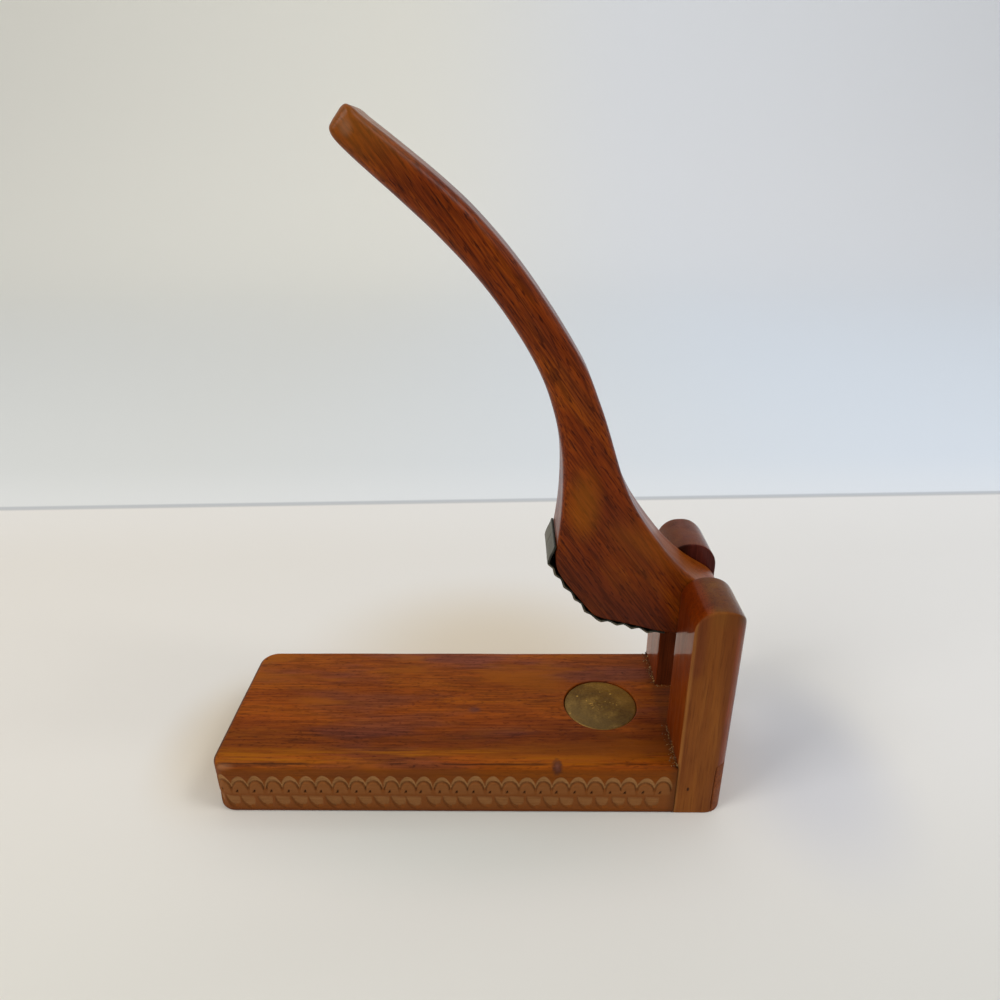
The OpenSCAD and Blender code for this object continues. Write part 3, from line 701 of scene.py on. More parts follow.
def base_board():
    # the plan path: carved run from the front post round the free end to the rear post, then the notch
    def run(a, b, step):
        a, b = np.array(a, float), np.array(b, float)
        n = max(1, int(np.linalg.norm(b - a) / step))
        return [a + (b - a) * k / n for k in range(n)]

    def arc(c, a0, a1, step):
        n = max(4, int(abs(math.radians(a1 - a0)) * CORNER_R / step))
        return [np.array(c) + CORNER_R * np.array([math.cos(math.radians(a0 + (a1 - a0) * k / n)), math.sin(math.radians(a0 + (a1 - a0) * k / n))]) for k in range(n)]

    xr = X_POST - 0.02
    carved = (run((xr, -Y_OUT), (X_FREE + CORNER_R, -Y_OUT), 0.21)
              + arc((X_FREE + CORNER_R, -Y_OUT + CORNER_R), -90, -180, 0.22)
              + run((X_FREE, -Y_OUT + CORNER_R), (X_FREE, Y_OUT - CORNER_R), 0.24)
              + arc((X_FREE + CORNER_R, Y_OUT - CORNER_R), -180, -270, 0.24)
              + run((X_FREE + CORNER_R, Y_OUT), (xr, Y_OUT), 0.26) + [np.array([xr, Y_OUT])])
    notch = (run((xr, Y_OUT - 0.15), (xr, Y_GAP), 2.0) + run((xr, Y_GAP), (X_RAIL - 0.02, Y_GAP), 2.0)
             + run((X_RAIL - 0.02, Y_GAP), (X_RAIL - 0.02, -Y_GAP), 2.0) + run((X_RAIL - 0.02, -Y_GAP), (xr, -Y_GAP), 2.0)
             + run((xr, -Y_GAP), (xr, -Y_OUT + 0.15), 2.0) + [np.array([xr, -Y_OUT + 0.15])])
    nc = len(carved)
    P = np.array(carved + notch)
    N = len(P)
    nrm = -normals2(P)  # the path runs clockwise
    k = np.arange(N)
    is_cut = k < nc
    # square ends of the carved run and of the notch
    nrm[0] = nrm[1]
    nrm[nc - 1] = nrm[nc - 2]
    s = np.r_[0, np.cumsum(np.linalg.norm(np.diff(P[:nc], axis=0), axis=1))]
    s = np.r_[s, np.zeros(N - nc)]
    r_top = np.where(is_cut, 2.5, 0.12)
    r_bot = np.where(is_cut, 0.9, 0.12)
    # the edge was rounded by hand
    r_top = r_top + np.where(is_cut, 0.25 * noise3(np.c_[P * 0.06, k * 0], 3), 0)

    total = s[nc - 1]
    front_len = xr - (X_FREE + CORNER_R)
    rows = repeats(total, 6.89, 11, 4.9)
    z_side = np.linspace(0.9, BASE_T - 2.75, 100)
    rings, cuts, shade_and_grime_rows = [], [], []
    zero = np.zeros(N)

    def ring(inset, z, cut=zero, shade_and_grime=zero):
        rings.append(np.c_[P - nrm * np.reshape(inset, (-1, 1)), z + zero])
        cuts.append(cut)
        shade_and_grime_rows.append(shade_and_grime)

    # underside
    ring(r_bot + 0.4, 0.0)
    for a in np.linspace(0, 90, 5):
        a = math.radians(a)
        ring(r_bot * (1 - math.sin(a)), r_bot * (1 - math.cos(a)))
    # carved side
    S, Z = np.meshgrid(s[:nc], z_side)
    # the tool wandered a little
    shift = 0.18 * noise3(np.c_[S.ravel() * 0.35, Z.ravel() * 0.35, S.ravel() * 0], 5)
    dep, cut, wall = carve_depth(S.ravel() + shift, Z.ravel() + 0.12 * noise3(np.c_[S.ravel() * 0.4, Z.ravel() * 0.4, S.ravel() * 0], 6), rows)
    dep = dep.reshape(S.shape)
    cut = cut.reshape(S.shape)
    wall = wall.reshape(S.shape)
    fade = step01(0.0, 1.2, np.minimum(s[:nc], total - s[:nc]))
    dep = dep * (0.35 + 0.65 * fade)
    # soften the crests, and find the corners where grime and painted shade sit
    blur = dep.copy()
    for _ in range(6):
        blur = (blur + np.roll(blur, 1, 1) + np.roll(blur, -1, 1)) / 3
        b2 = blur.copy()
        b2[1:-1] = (blur[:-2] + blur[1:-1] + blur[2:]) / 3
        blur = b2
    cavity = step01(0.06, 0.34, dep - blur)
    soft = dep.copy()
    soft = (soft * 2 + np.roll(soft, 1, 1) + np.roll(soft, -1, 1)) / 4
    soft[1:-1] = (soft[1:-1] * 2 + soft[:-2] + soft[2:]) / 4
    # tool marks in the cuts
    marks = 0.05 * noise3(np.c_[S.ravel() * 2.6, Z.ravel() * 1.1, S.ravel() * 0], 8).reshape(S.shape)
    soft = np.maximum(soft + marks * step01(0.02, 0.2, soft), 0)
    for field in (cut, wall):
        field[:] = (field * 2 + np.roll(field, 1, 1) + np.roll(field, -1, 1)) / 4
        field[1:-1] = (field[1:-1] * 2 + field[:-2] + field[2:]) / 4
    # painted shade and grime: dark in the hollows and along the stabs and pits
    shade_and_grime = np.clip(np.maximum(cavity * 0.45, wall), 0, 1)
    pad = np.zeros(N - nc)
    for q, z in enumerate(z_side):
        ring(np.r_[soft[q], pad], z, np.r_[cut[q], pad], np.r_[shade_and_grime[q], pad])
    for a in np.linspace(0, 90, 9):
        a = math.radians(a)
        ring(r_top * (1 - math.cos(a)), BASE_T - r_top + r_top * math.sin(a))
    ring(r_top + 0.35, BASE_T)
    rings = np.array(rings)
    R = len(rings)
    verts = rings.reshape(-1, 3)
    faces = []
    for q in range(R - 1):
        a = q * N
        for i in range(N):
            j = (i + 1) % N
            faces.append((a + i, a + N + i, a + N + j, a + j))
    cut_a, shade_and_grime_a = np.concatenate(cuts), np.concatenate(shade_and_grime_rows)

    # pocket for the disc
    M = 160
    ang = np.arange(M) / M * 2 * math.pi
    pr = 16.12 + 0.10 * noise3(np.c_[np.cos(ang) * 2, np.sin(ang) * 2, ang * 0], 21)
    circle = np.c_[np.cos(ang), np.sin(ang)]
    prof = [(0.75, 0.0), (0.45, 0.0), (0.22, 0.06), (0.06, 0.22), (0.0, 0.45), (0.0, 1.5), (0.0, 3.0), (-0.8, 3.0)]
    first = len(verts)
    pocket = [np.c_[circle * (pr + o)[:, None] + np.array(DISC), np.full(M, BASE_T - d)] for o, d in prof]
    verts = np.vstack([verts] + pocket)
    for q in range(len(prof) - 1):
        a = first + q * M
        for i in range(M):
            j = (i + 1) % M
            faces.append((a + i, a + M + i, a + M + j, a + j))
    faces.append(tuple(first + (len(prof) - 1) * M + i for i in range(M)))
    # flat top between the last ring and the pocket, and the underside
    top_ring = [Vector((*rings[-1][i][:2], 0)) for i in range(N)]
    hole = [Vector((*p[:2], 0)) for p in pocket[0]]
    ids = [(R - 1) * N + i for i in range(N)] + [first + i for i in range(M)]
    for tri in tessellate_polygon([top_ring, hole[::-1]]):
        idx = [ids[t] if t < N else first + (M - 1 - (t - N)) for t in tri]
        faces.append(tuple(idx))
    low_ring = [Vector((*rings[0][i][:2], 0)) for i in range(N)]
    for tri in tessellate_polygon([low_ring]):
        faces.append(tuple(tri))
    extra = len(verts) - len(cut_a)
    ob = make("base_board_wood", verts, faces, base_mat, "stand", ["base_board"],
              attrs={"cut": np.r_[cut_a, np.zeros(extra)], "shade_and_grime": np.r_[shade_and_grime_a, np.zeros(extra)]}, fix=False)
    bm = bmesh.new()
    bm.from_mesh(ob.data)
    bmesh.ops.recalc_face_normals(bm, faces=bm.faces)
    if bm.calc_volume(signed=True) < 0:
        bmesh.ops.reverse_faces(bm, faces=bm.faces)
    bm.to_mesh(ob.data)
    bm.free()
    return ob


base_ob = base_board()


# ---------------------------------------------------------------- striker disc
def striker():
    M, R = 192, 64
    ang = np.arange(M) / M * 2 * math.pi
    rad = np.linspace(0, 1, R + 1)[1:] ** 0.85 * (DISC_R - 0.35)
    rr, aa = np.meshgrid(rad, ang, indexing="ij")
    x, y = rr * np.cos(aa), rr * np.sin(aa)
    flat = np.c_[x.ravel(), y.ravel(), 0 * x.ravel()]
    h = -0.10 * (1 - (rr / DISC_R) ** 2) + 0.05 * noise3(flat * 0.35, 31).reshape(rr.shape) + 0.035 * noise3(flat * 1.1, 32).reshape(rr.shape)
    bright = np.zeros_like(rr)
    rng = np.random.default_rng(5)
    # dents where shells were struck, most of them left of the middle and at the upper right
    spots = [(-3.0, -0.5, 1.7, 34), (-1.2, 0.6, 1.4, 12), (7.5, 7.5, 3.0, 26), (-9.5, -6.5, 2.5, 8), (2.0, -6.0, 4.5, 10), (0, 0, 9.0, 26)]
    for cx, cy, spread, count in spots:
        for _ in range(count):
            px, py = cx + rng.normal() * spread, cy + rng.normal() * spread
            size, depth_, turn, thin = 0.18 + 0.34 * rng.random(), 0.03 + 0.09 * rng.random(), rng.random() * math.pi, 0.35 + 0.5 * rng.random()
            dx, dy = x - px, y - py
            a_, b_ = dx * math.cos(turn) + dy * math.sin(turn), (-dx * math.sin(turn) + dy * math.cos(turn)) / thin
            d = np.sqrt(a_ ** 2 + b_ ** 2) / size
            h -= depth_ * np.exp(-d ** 2)
            shine = rng.random()
            if shine > (0.50 if spread < 2 else 0.80):
                bright = np.maximum(bright, 0.75 * shine * np.exp(-((d - 0.5) ** 2) * 5.0))
    top = 23.7 + np.minimum(h, 0.0)
    rings = [np.c_[x[k] + DISC[0], y[k] + DISC[1], top[k]] for k in range(R)]
    brs = [bright[k] for k in range(R)]
    edge = [(DISC_R - 0.16, 23.62, 0.25), (DISC_R - 0.03, 23.46, 0.1), (DISC_R, 23.2, 0), (DISC_R, 21.45, 0), (DISC_R - 0.1, 21.3, 0), (DISC_R - 0.4, 21.22, 0)]
    for r, z, b in edge:
        rings.append(np.c_[r * np.cos(ang) + DISC[0], r * np.sin(ang) + DISC[1], np.full(M, z)])
        brs.append(np.full(M, b))
    verts = np.vstack(rings + [np.array([[DISC[0], DISC[1], top[0].mean()], [DISC[0], DISC[1], 21.22]])])
    n = len(rings)
    faces = []
    for k in range(n - 1):
        for i in range(M):
            j = (i + 1) % M
            faces.append((k * M + i, k * M + j, (k + 1) * M + j, (k + 1) * M + i))
    c0, c1 = n * M, n * M + 1
    for i in range(M):
        j = (i + 1) % M
        faces.append((c0, j, i))
        faces.append((c1, (n - 1) * M + i, (n - 1) * M + j))
    return make("striker_disc_brass", verts, faces, brass_mat, "stand", ["striker_disc"],
                attrs={"bright": np.r_[np.concatenate(brs), 0, 0]})


striker()


# ---------------------------------------------------------------- posts
def slab(P, r_lo, r_hi, h0, h1, arc=6, flat=0.25):
    """A bmesh of outline P between h0 and h1 with both edges rounded. Its points are (u, v, h) in millimetres."""
    if np.sum(P[:, 0] * np.roll(P[:, 1], -1) - np.roll(P[:, 0], -1) * P[:, 1]) < 0:
        P, r_lo, r_hi = P[::-1].copy(), r_lo[::-1].copy(), r_hi[::-1].copy()
    n = normals2(P)
    rows = [(r_lo + flat, h0)]
    rows += [(r_lo * (1 - math.sin(a)), h0 + r_lo * (1 - math.cos(a))) for a in np.linspace(0, math.pi / 2, arc + 1)]
    rows += [(r_hi * (1 - math.sin(a)), h1 - r_hi * (1 - math.cos(a))) for a in np.linspace(math.pi / 2, 0, arc + 1)]
    rows += [(r_hi + flat, h1)]
    V = np.vstack([np.c_[P - n * np.reshape(i, (-1, 1)), np.zeros(len(P)) + h] for i, h in rows])
    N, R = len(P), len(rows)
    bm = bmesh.new()
    vs = [bm.verts.new(v) for v in V]
    for k in range(R - 1):
        for i in range(N):
            j = (i + 1) % N
            bm.faces.new((vs[k * N + i], vs[k * N + j], vs[(k + 1) * N + j], vs[(k + 1) * N + i]))
    bm.faces.new([vs[i] for i in range(N)][::-1])
    bm.faces.new([vs[(R - 1) * N + i] for i in range(N)])
    bm.normal_update()
    return bm


def slice_up(bm, axis, places):
    no = [0.0, 0.0, 0.0]
    no[axis] = 1.0
    for t in places:
        co = [0.0, 0.0, 0.0]
        co[axis] = float(t)
        geom = bm.verts[:] + bm.edges[:] + bm.faces[:]
        bmesh.ops.bisect_plane(bm, geom=geom, dist=1e-4, plane_co=co, plane_no=no)


def finish_bm(bm, name, material, body, replaces):
    bmesh.ops.remove_doubles(bm, verts=bm.verts, dist=0.002)
    bmesh.ops.triangulate(bm, faces=[f for f in bm.faces if len(f.verts) > 4])
    bmesh.ops.dissolve_degenerate(bm, edges=bm.edges, dist=1e-4)
    V = [v.co[:] for v in bm.verts]
    bm.verts.index_update()
    F = [tuple(v.index for v in f.verts) for f in bm.faces]
    bm.free()
    return make(name, np.array(V), F, material, body, replaces)


def post(sign, name, mat, node):
    """sign -1 is the near post. The outline lies in X and Z; h runs from the inner face to the outer one."""
    g = 0.02
    corners = [
        (X_POST, 0.0, 0.6),
        (X_RAIL - g, 0.0, 0.4),
        (X_RAIL - g, BASE_T + 0.03, 0.3),
        (X_END, BASE_T + 0.03, 0.5),
        (X_END, POST_H, 10.15),
        (X_POST, POST_H, 9.0),
    ]
    P, _ = fillet_path(corners, 2.0)
    n = len(P)
    low = step01(0.6, 5.0, P[:, 1]) * step01(0.4, 3.0, np.hypot(P[:, 0] - X_END, P[:, 1] - BASE_T)) \
        * step01(0.4, 3.0, np.hypot(P[:, 0] - X_RAIL, P[:, 1] - BASE_T))
    r_in = 0.25 + low * (0.22 + 0.12 * noise3(np.c_[P * 0.08, P[:, 0] * 0], 41))
    r_out = 0.25 + low * (0.55 + 0.22 * noise3(np.c_[P * 0.07, P[:, 0] * 0], 42))
    bm = slab(P, r_in, r_out, 0.0, 25.0)
    slice_up(bm, 0, [86.5, 89.0, 91.5, 94.0, 96.0] + list(X_END - CORNER_R + 8.0 * np.sin(np.radians(np.arange(2, 90, 7)))))
    slice_up(bm, 1, np.arange(8.0, 96.0, 8.0))
    slice_up(bm, 2, [3, 6, 9, 12, 15, 18, 21, 23.5])
    for v in bm.verts:
        u, w, h = v.co
        over = min(max(u - (X_END - CORNER_R), 0), CORNER_R)
        lost = CORNER_R - math.sqrt(max(CORNER_R ** 2 - over ** 2, 0))
        h = h * (25.0 - lost) / 25.0
        # hand-finished: the outer face isn't dead flat
        dip = 0.05 + 0.05 * float(noise3([[u * 0.06, w * 0.045, 3.0 + sign]], 44)[0])
        h -= dip * float(step01(8.0, 20.0, h))
        v.co = (u, sign * (Y_GAP + h), w)
    return finish_bm(bm, name, mat, "stand", [node])


post(-1, "front_post_wood", front_post_mat, "front_post")
post(1, "rear_post_wood", rear_post_mat, "rear_post")


# ---------------------------------------------------------------- back rail
def back_rail():
    g = 0.03
    pts = []
    c = (X_END - CORNER_R, Y_OUT - CORNER_R)
    a0 = math.asin((X_RAIL + g - c[0]) / CORNER_R)
    for a in np.linspace(math.pi / 2 - a0, 0, 14):
        pts.append((c[0] + CORNER_R * math.cos(a), c[1] + CORNER_R * math.sin(a)))
    side = [(x, y) for x, y in pts]
    other = [(x, -y) for x, y in side[::-1]]
    n = 46
    back = [(X_END, c[1] + (-2 * c[1]) * k / n) for k in range(1, n)]
    x0 = X_RAIL + g
    front = [(x0, -side[0][1] + 2 * side[0][1] * k / n) for k in range(1, n)]
    P = np.array(side + back + other + front)
    r = 0.25 + 0.1 * noise3(np.c_[P * 0.1, P[:, 0] * 0], 51)
    sharp = np.minimum(np.hypot(P[:, 0] - x0, P[:, 1] - side[0][1]), np.hypot(P[:, 0] - x0, P[:, 1] + side[0][1]))
    r = r * (0.3 + 0.7 * step01(0.2, 2.0, sharp))
    bm = slab(P, r, r * 1.4, 0.0, BASE_T - 0.02, flat=0.15)
    slice_up(bm, 1, np.arange(-32.0, 33.0, 8.0))
    slice_up(bm, 2, np.arange(4.0, 24.0, 4.0))
    for v in bm.verts:
        u, w, h = v.co
        back = float(step01(X_RAIL + 2.5, X_END, u))
        u -= back * (0.04 + 0.04 * float(noise3([[w * 0.05, h * 0.05, 1.0]], 52)[0]))
        v.co = (u, w, h)
    return finish_bm(bm, "back_rail_wood", rail_mat, "stand", ["back_rail"])


back_rail()


# ---------------------------------------------------------------- lever
def lever():
    C = catmull(LEVER, 6)
    P, r = C[:, :2], C[:, 2]
    n = len(P)
    nrm = normals2(P)
    rings = []
    half = LEVER_HALF

    def ring(inset, y):
        rings.append(np.c_[P[:, 0] - nrm[:, 0] * inset, y + 0 * r, np.minimum(P[:, 1] - nrm[:, 1] * inset, 259.98)])

    flat = np.minimum(0.12, 0.02 * r + 0.03)
    arcs = np.linspace(0, 90, 10)
    # from the near side to the far side
    ring(r + flat, -half)
    for a in arcs:
        a = math.radians(a)
        ring(r * (1 - math.sin(a)), -(half - r + r * math.cos(a)))
    for t in np.linspace(-1, 1, 9)[1:-1]:
        ring(0 * r, t * (half - r))
    for a in arcs[::-1]:
        a = math.radians(a)
        ring(r * (1 - math.sin(a)), half - r + r * math.cos(a))
    ring(r + flat, half)
    R = len(rings)
    verts = np.vstack(rings)
    faces = []
    for k in range(R - 1):
        a = k * n
        for i in range(n):
            j = (i + 1) % n
            faces.append((a + i, a + j, a + n + j, a + n + i))
    # flat sides: bridge the front edge and the rear edge, from the tip to the heel
    Q = rings[0][:, [0, 2]]
    a, b = 0, n - 1
    tris = []
    while b - a > 1:
        if np.linalg.norm(Q[a + 1] - Q[b]) < np.linalg.norm(Q[a] - Q[b - 1]):
            tris.append((a, a + 1, b))
            a += 1
        else:
            tris.append((a, b - 1, b))
            b -= 1
    top = (R - 1) * n
    faces += [t[::-1] for t in tris] + [tuple(top + q for q in t) for t in tris]
    ob = make("lever_wood", verts, faces, lever_mat, "arm", ["lever"])
    # the tip is rounded in plan as well: sliced across first, then drawn in
    bm = bmesh.new()
    bm.from_mesh(ob.data)
    for d in (0.25, 0.6, 1.0, 1.5, 2.1, 2.8, 3.6, 4.5, 5.5, 6.6, 7.9, 9.3, 10.8, 12.4):
        bmesh.ops.bisect_plane(bm, geom=bm.verts[:] + bm.edges[:] + bm.faces[:], dist=1e-7,
                               plane_co=((-36.3 + 0.773 * d) * MM, 0.0, (257.0 - 0.634 * d) * MM), plane_no=(0.773, 0.0, -0.634))
    bmesh.ops.triangulate(bm, faces=[f for f in bm.faces if len(f.verts) > 4])
    V = np.array([v.co[:] for v in bm.verts]) / MM
    d = (V[:, 0] + 36.3) * 0.773 - (V[:, 2] - 257.0) * 0.634
    along = (V[:, 0] + 36.3) * 0.634 + (V[:, 2] - 257.0) * 0.773
    turn = np.where(V[:, 1] < 0, 5.2 + 1.6 * step01(-3.0, 6.0, along), 12.3)
    drawn = V[:, 1] * (half - turn + np.sqrt(turn ** 2 - (turn - np.clip(d, 0, turn)) ** 2)) / half
    for v, y in zip(bm.verts, drawn):
        v.co.y = y * MM
    bm.to_mesh(ob.data)
    bm.free()
    ob.data.polygons.foreach_set("use_smooth", [True] * len(ob.data.polygons))
    ob.data.update()
    return ob


lever()


# ---------------------------------------------------------------- jaw strip
def ease_wave(s):
    k = np.clip(np.searchsorted(WAVE[:, 0], s) - 1, 0, len(WAVE) - 2)
    u = np.clip((s - WAVE[k, 0]) / (WAVE[k + 1, 0] - WAVE[k, 0]), 0, 1)
    return WAVE[k, 1] + (WAVE[k + 1, 1] - WAVE[k, 1]) * (0.55 * u + 0.45 * (1 - np.cos(np.pi * u)) / 2)


def jaw_strip():
    C = catmull(LEVER, 16, SEAT[0], SEAT[1])[:, :2]
    s = np.r_[0, np.cumsum(np.linalg.norm(np.diff(C, axis=0), axis=1))]
    t = np.gradient(C, axis=0)
    t /= np.linalg.norm(t, axis=1)[:, None]
    nrm = np.c_[t[:, 1], -t[:, 0]]
    keep = (s >= 4.5) & (s <= 71)
    C, s, nrm = C[keep], s[keep], nrm[keep]
    thick = 0.80
    outer = ease_wave(s) - 0.02
    ny = 44
    ys = np.linspace(-STRIP_HALF + 0.12, STRIP_HALF - 0.12, ny)
    # cross-section of the sheet: outer face, rounded edges, inner face
    rows, worn = [], []
    sect = [(y, 0.0) for y in ys] + [(STRIP_HALF - 0.03, 0.10), (STRIP_HALF, thick / 2), (STRIP_HALF - 0.03, thick - 0.10)] \
        + [(y, thick) for y in ys[::-1]] + [(-STRIP_HALF + 0.03, thick - 0.10), (-STRIP_HALF, thick / 2), (-STRIP_HALF + 0.03, 0.10)]
    for y, d in sect:
        wob = 0.10 * noise3(np.c_[s * 0.22, np.full(len(s), y * 0.12), s * 0], 61) \
            - 0.22 * (s < 11.0) * step01(5.0, 7.0, s) * math.exp(-((y - 1.5) / 0.9) ** 2)
        off = np.maximum(outer - d - 0.04 + wob * (outer > 1.2) - 0.06 * (outer > 1.2), thick - d + 0.02)
        rows.append(np.c_[C[:, 0] + nrm[:, 0] * off, np.full(len(s), y), C[:, 1] + nrm[:, 1] * off])
        face = (s < 11.4) * (d < 0.2) * step01(4.7, 5.6, s) * step01(-STRIP_HALF + 0.3, -STRIP_HALF + 1.3, y) * step01(STRIP_HALF, STRIP_HALF - 0.8, y)
        face = face * (0.95 - 0.25 * step01(2.5, -1.0, y) - 0.7 * math.exp(-((y - 1.5) / 0.5) ** 2))
        # painted glints: the crests of the outer face and the edges of the crests are marked paler, besides the pale
        # scratched flat at the top
        rim = 0.9 * (abs(y) > STRIP_HALF - 0.1) * (s > 12)
        worn.append(np.clip(step01(1.5, 2.1, outer) * (d < 0.2) * (s > 11.9) * 0.6 + face + rim * step01(1.3, 2.0, outer), 0, 1))
    rows = np.array(rows)
    K, L = len(sect), len(s)
    verts = rows.reshape(-1, 3)
    faces = []
    for k in range(K):
        j = (k + 1) % K
        for i in range(L - 1):
            faces.append((k * L + i, k * L + i + 1, j * L + i + 1, j * L + i))
    # ends: strips of quads between the outer and the inner row
    pairs = [(q, 2 * ny + 2 - q) for q in range(ny)]
    for i, turn in ((0, 1), (L - 1, -1)):
        for q in range(ny - 1):
            f = (pairs[q][0] * L + i, pairs[q + 1][0] * L + i, pairs[q + 1][1] * L + i, pairs[q][1] * L + i)
            faces.append(f[::turn])
        hi = (ny - 1) * L + i, ny * L + i, (ny + 1) * L + i, (ny + 2) * L + i, (ny + 3) * L + i
        lo = i, (2 * ny + 2) * L + i, (2 * ny + 3) * L + i, (2 * ny + 4) * L + i, (2 * ny + 5) * L + i
        faces.append(hi[::turn])
        faces.append(lo[::turn])
    ob = make("jaw_strip_sheet", verts, faces, sheet_mat, "arm", ["jaw_strip"],
              attrs={"worn": np.concatenate(worn)}, fix=False)
    bm = bmesh.new()
    bm.from_mesh(ob.data)
    bmesh.ops.recalc_face_normals(bm, faces=bm.faces)
    bm.to_mesh(ob.data)
    bm.free()
    return ob


jaw_strip()


# ---------------------------------------------------------------- dried glue at the posts' feet
def glue_beads():
    rng = np.random.default_rng(9)
    bm0 = bmesh.new()
    bmesh.ops.create_icosphere(bm0, subdivisions=2, radius=1.0)
    unit = np.array([v.co[:] for v in bm0.verts])
    tri = [tuple(v.index for v in f.verts) for f in bm0.faces]
    bm0.free()
    verts, faces, total = [], [], 0

    def speck(x, y, z, big):
        nonlocal total
        shape = unit * (1 + 0.45 * noise3(unit * 1.7 + rng.random(3) * 50, 71))[:, None]
        shape = shape * big * np.array([1.0 + 0.5 * rng.random(), 1.0 + 0.9 * rng.random(), 0.7])
        faces.extend(tuple(q + total for q in t) for t in tri)
        verts.append(shape + np.array([x, y, z]))
        total += len(unit)

    for sign in (-1, 1):
        for k in range(115):
            big = 0.08 + 0.19 * rng.random() ** 2.5
            climb = rng.random() < 0.35
            x = X_POST - big * 0.3 if climb else X_POST - 0.1 - 2.6 * rng.random() ** 2.2
            z = BASE_T + (0.1 + 2.2 * rng.random() ** 2 if climb else big * 0.15)
            speck(x, sign * (13.8 + 23.4 * rng.random()), z, big)
        for k in range(40):
            big = 0.08 + 0.16 * rng.random() ** 2.5
            speck(X_POST + 0.5 + 12.0 * rng.random() ** 1.5, sign * (Y_GAP - 0.1 - 1.4 * rng.random() ** 2.0), BASE_T + big * 0.15, big)
    return make("glue_beads", np.vstack(verts), faces, glue_mat, "stand", fix=False)


glue_beads()

for node in ("post_nails", "rail_nails", "pivot_pin"):
    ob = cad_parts[node]
    ob.data.materials.clear()
    ob.data.materials.append(steel_mat)
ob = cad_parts["strip_nails"]
ob.data.materials.clear()
ob.data.materials.append(sheet_mat)


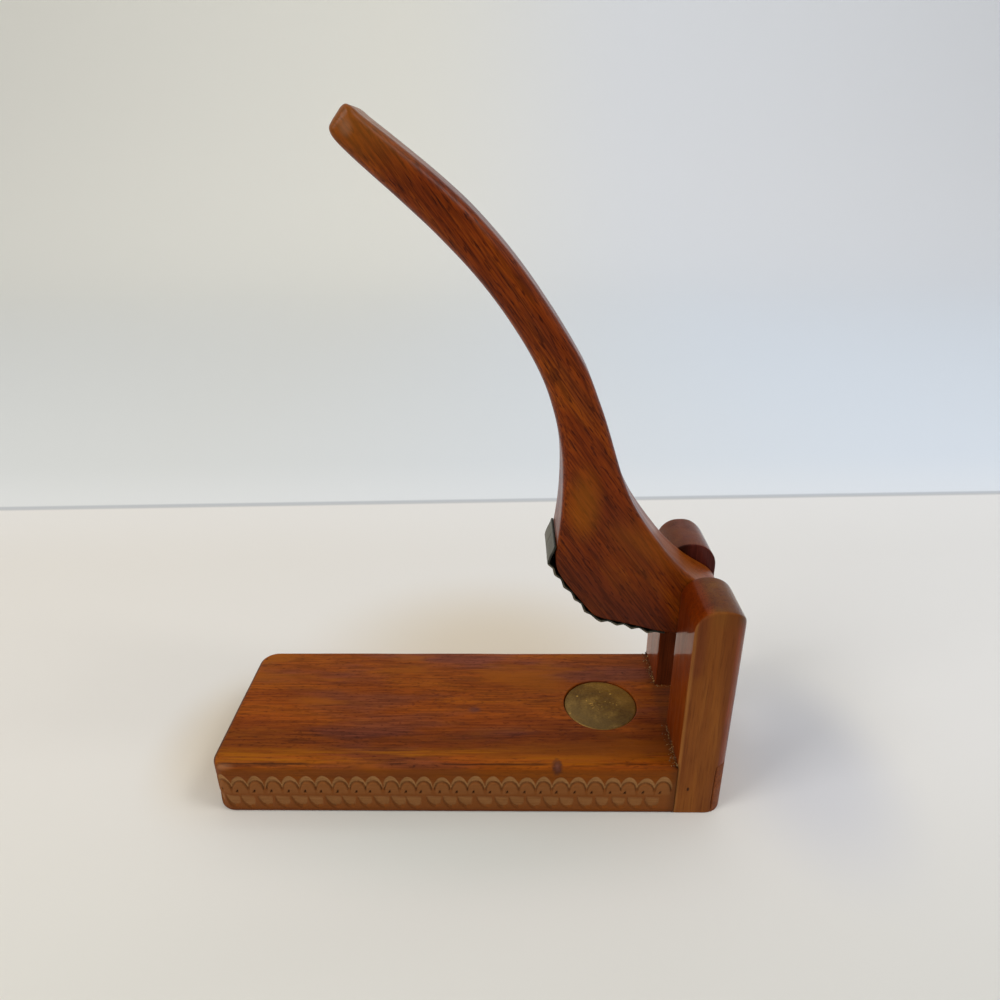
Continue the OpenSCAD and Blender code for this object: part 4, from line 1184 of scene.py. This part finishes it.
# ---------------------------------------------------------------- stage and light
def stage():
    g = Graph("pale_stage")
    x, y, z = g.split(g.coord)
    tilt = g.math("ADD", y, g.math("MULTIPLY", x, -0.0345))
    far = g.range(tilt, 0.2650, 0.2690, 0.0, 1.0)
    glow = g.range(g.math("ABSOLUTE", g.math("SUBTRACT", tilt, 0.267)), 0.0, 0.10, 1.0, 0.0)
    # painted light: the floor and the wall warmer on the left, cooler and bluer on the right
    side = g.range(x, -0.35, 0.45, 0.0, 1.0)
    near = g.mix(side, (0.810, 0.770, 0.705), (0.820, 0.815, 0.805))
    # painted shade: the floor darker towards the front
    near = g.mix(g.range(y, -0.15, 0.02, 0.60, 0.0), near, g.mix(side, (0.750, 0.730, 0.650), (0.655, 0.655, 0.615)))
    # painted bounce light: warm patches on the floor behind the base and left of its free end
    bounce_light = g.dist((5.0, 70.0, 0.0), (1.0, 1.3, 0.0))
    near = g.mix(g.range(bounce_light, 15.0, 120.0, 0.9, 0.0), near, (0.700, 0.610, 0.480))
    bounce_light = g.dist((-112.0, 4.0, 0.0), (1.0, 0.7, 0.0))
    near = g.mix(g.range(bounce_light, 8.0, 42.0, 0.9, 0.0), near, (0.705, 0.625, 0.500))
    shade = g.dist((0.0, -40.0, 0.0), (0.36, 1.0, 0.0))
    near = g.mix(g.range(shade, 10.0, 48.0, 0.6, 0.0), near, (0.635, 0.660, 0.610))
    shade = g.dist((150.0, -10.0, 0.0), (1.0, 0.6, 0.0))
    near = g.mix(g.range(shade, 10.0, 50.0, 0.75, 0.0), near, (0.645, 0.655, 0.700))
    wall = g.mix(side, (0.755, 0.765, 0.745), (0.765, 0.835, 0.925))
    # painted light: the backdrop lighter further back and up the wall
    wall = g.mix(g.range(y, 0.5, 2.0, 0.0, 1.0), wall, g.mix(side, (0.985, 0.970, 0.895), (0.920, 0.94, 0.975)))
    col = g.mix(g.math("MULTIPLY", glow, 0.22), g.mix(far, near, wall), (0.95, 0.95, 0.95))
    line = g.math("MULTIPLY", g.range(tilt, 0.2625, 0.2660, 0.0, 1.0), g.range(tilt, 0.2690, 0.2730, 1.0, 0.0))
    col = g.mix(g.math("MULTIPLY", line, 0.62), col, (0.42, 0.44, 0.47))
    g.link(col, g.bsdf.inputs["Base Color"])
    g.bsdf.inputs["Roughness"].default_value = 0.75
    g.bsdf.inputs["Specular IOR Level"].default_value = 0.25
    prof = [(-9.0, 0.0), (1.3, 0.0)]
    prof += [(1.3 + 1.0 * math.sin(a), 1.0 - 1.0 * math.cos(a)) for a in np.linspace(0, math.pi / 2, 25)[1:]]
    prof += [(2.3, 3.5)]
    verts = [(sx, y_, z_ - 0.00005) for y_, z_ in prof for sx in (-14.0, 14.0)]
    faces = [(2 * k, 2 * k + 1, 2 * k + 3, 2 * k + 2) for k in range(len(prof) - 1)]
    me = bpy.data.meshes.new("stage_floor")
    me.from_pydata(verts, [], faces)
    me.polygons.foreach_set("use_smooth", [True] * len(me.polygons))
    me.materials.append(g.mat)
    ob = bpy.data.objects.new("stage_floor", me)
    scene.collection.objects.link(ob)


stage()


def area(name, loc, target, size, power, colour):
    d = bpy.data.lights.new(name, "AREA")
    d.shape = "RECTANGLE"
    d.size, d.size_y = size
    d.energy = power
    d.color = colour
    o = bpy.data.objects.new(name, d)
    scene.collection.objects.link(o)
    o.location = loc
    o.rotation_mode = "QUATERNION"
    o.rotation_quaternion = (Vector(target) - Vector(loc)).to_track_quat("-Z", "Y")
    return o


area("window", (-1.15, -0.65, 1.45), (0.0, 0.0, 0.05), (0.60, 0.60), 11, (1.0, 0.98, 0.94))
area("lamp", (1.05, -0.25, 1.55), (0.0, 0.0, 0.05), (0.50, 0.50), 7.0, (1.0, 0.99, 0.98))
area("wall_wash", (0.5, 0.9, 2.3), (0.25, 2.3, 0.9), (1.6, 0.5), 5.4, (0.93, 0.97, 1.0))

world = bpy.data.worlds.new("room")
scene.world = world
world.use_nodes = True
wt = world.node_tree
bg = wt.nodes["Background"]
direction = wt.nodes.new("ShaderNodeTexCoord")
part = wt.nodes.new("ShaderNodeSeparateXYZ")
wt.links.new(direction.outputs["Generated"], part.inputs[0])
level = wt.nodes.new("ShaderNodeMapRange")
level.interpolation_type = "SMOOTHSTEP"
for key, value in (("From Min", -0.9), ("From Max", 0.5), ("To Min", 0.42), ("To Max", 1.0)):
    level.inputs[key].default_value = value
wt.links.new(part.outputs[1], level.inputs["Value"])
tint = wt.nodes.new("ShaderNodeMix")
tint.data_type = "RGBA"
tint.inputs[6].default_value = (0.42, 0.40, 0.37, 1)
tint.inputs[7].default_value = (0.95, 0.96, 0.98, 1)
wt.links.new(level.outputs["Result"], tint.inputs[0])
wt.links.new(tint.outputs[2], bg.inputs[0])
bg.inputs[1].default_value = 0.66
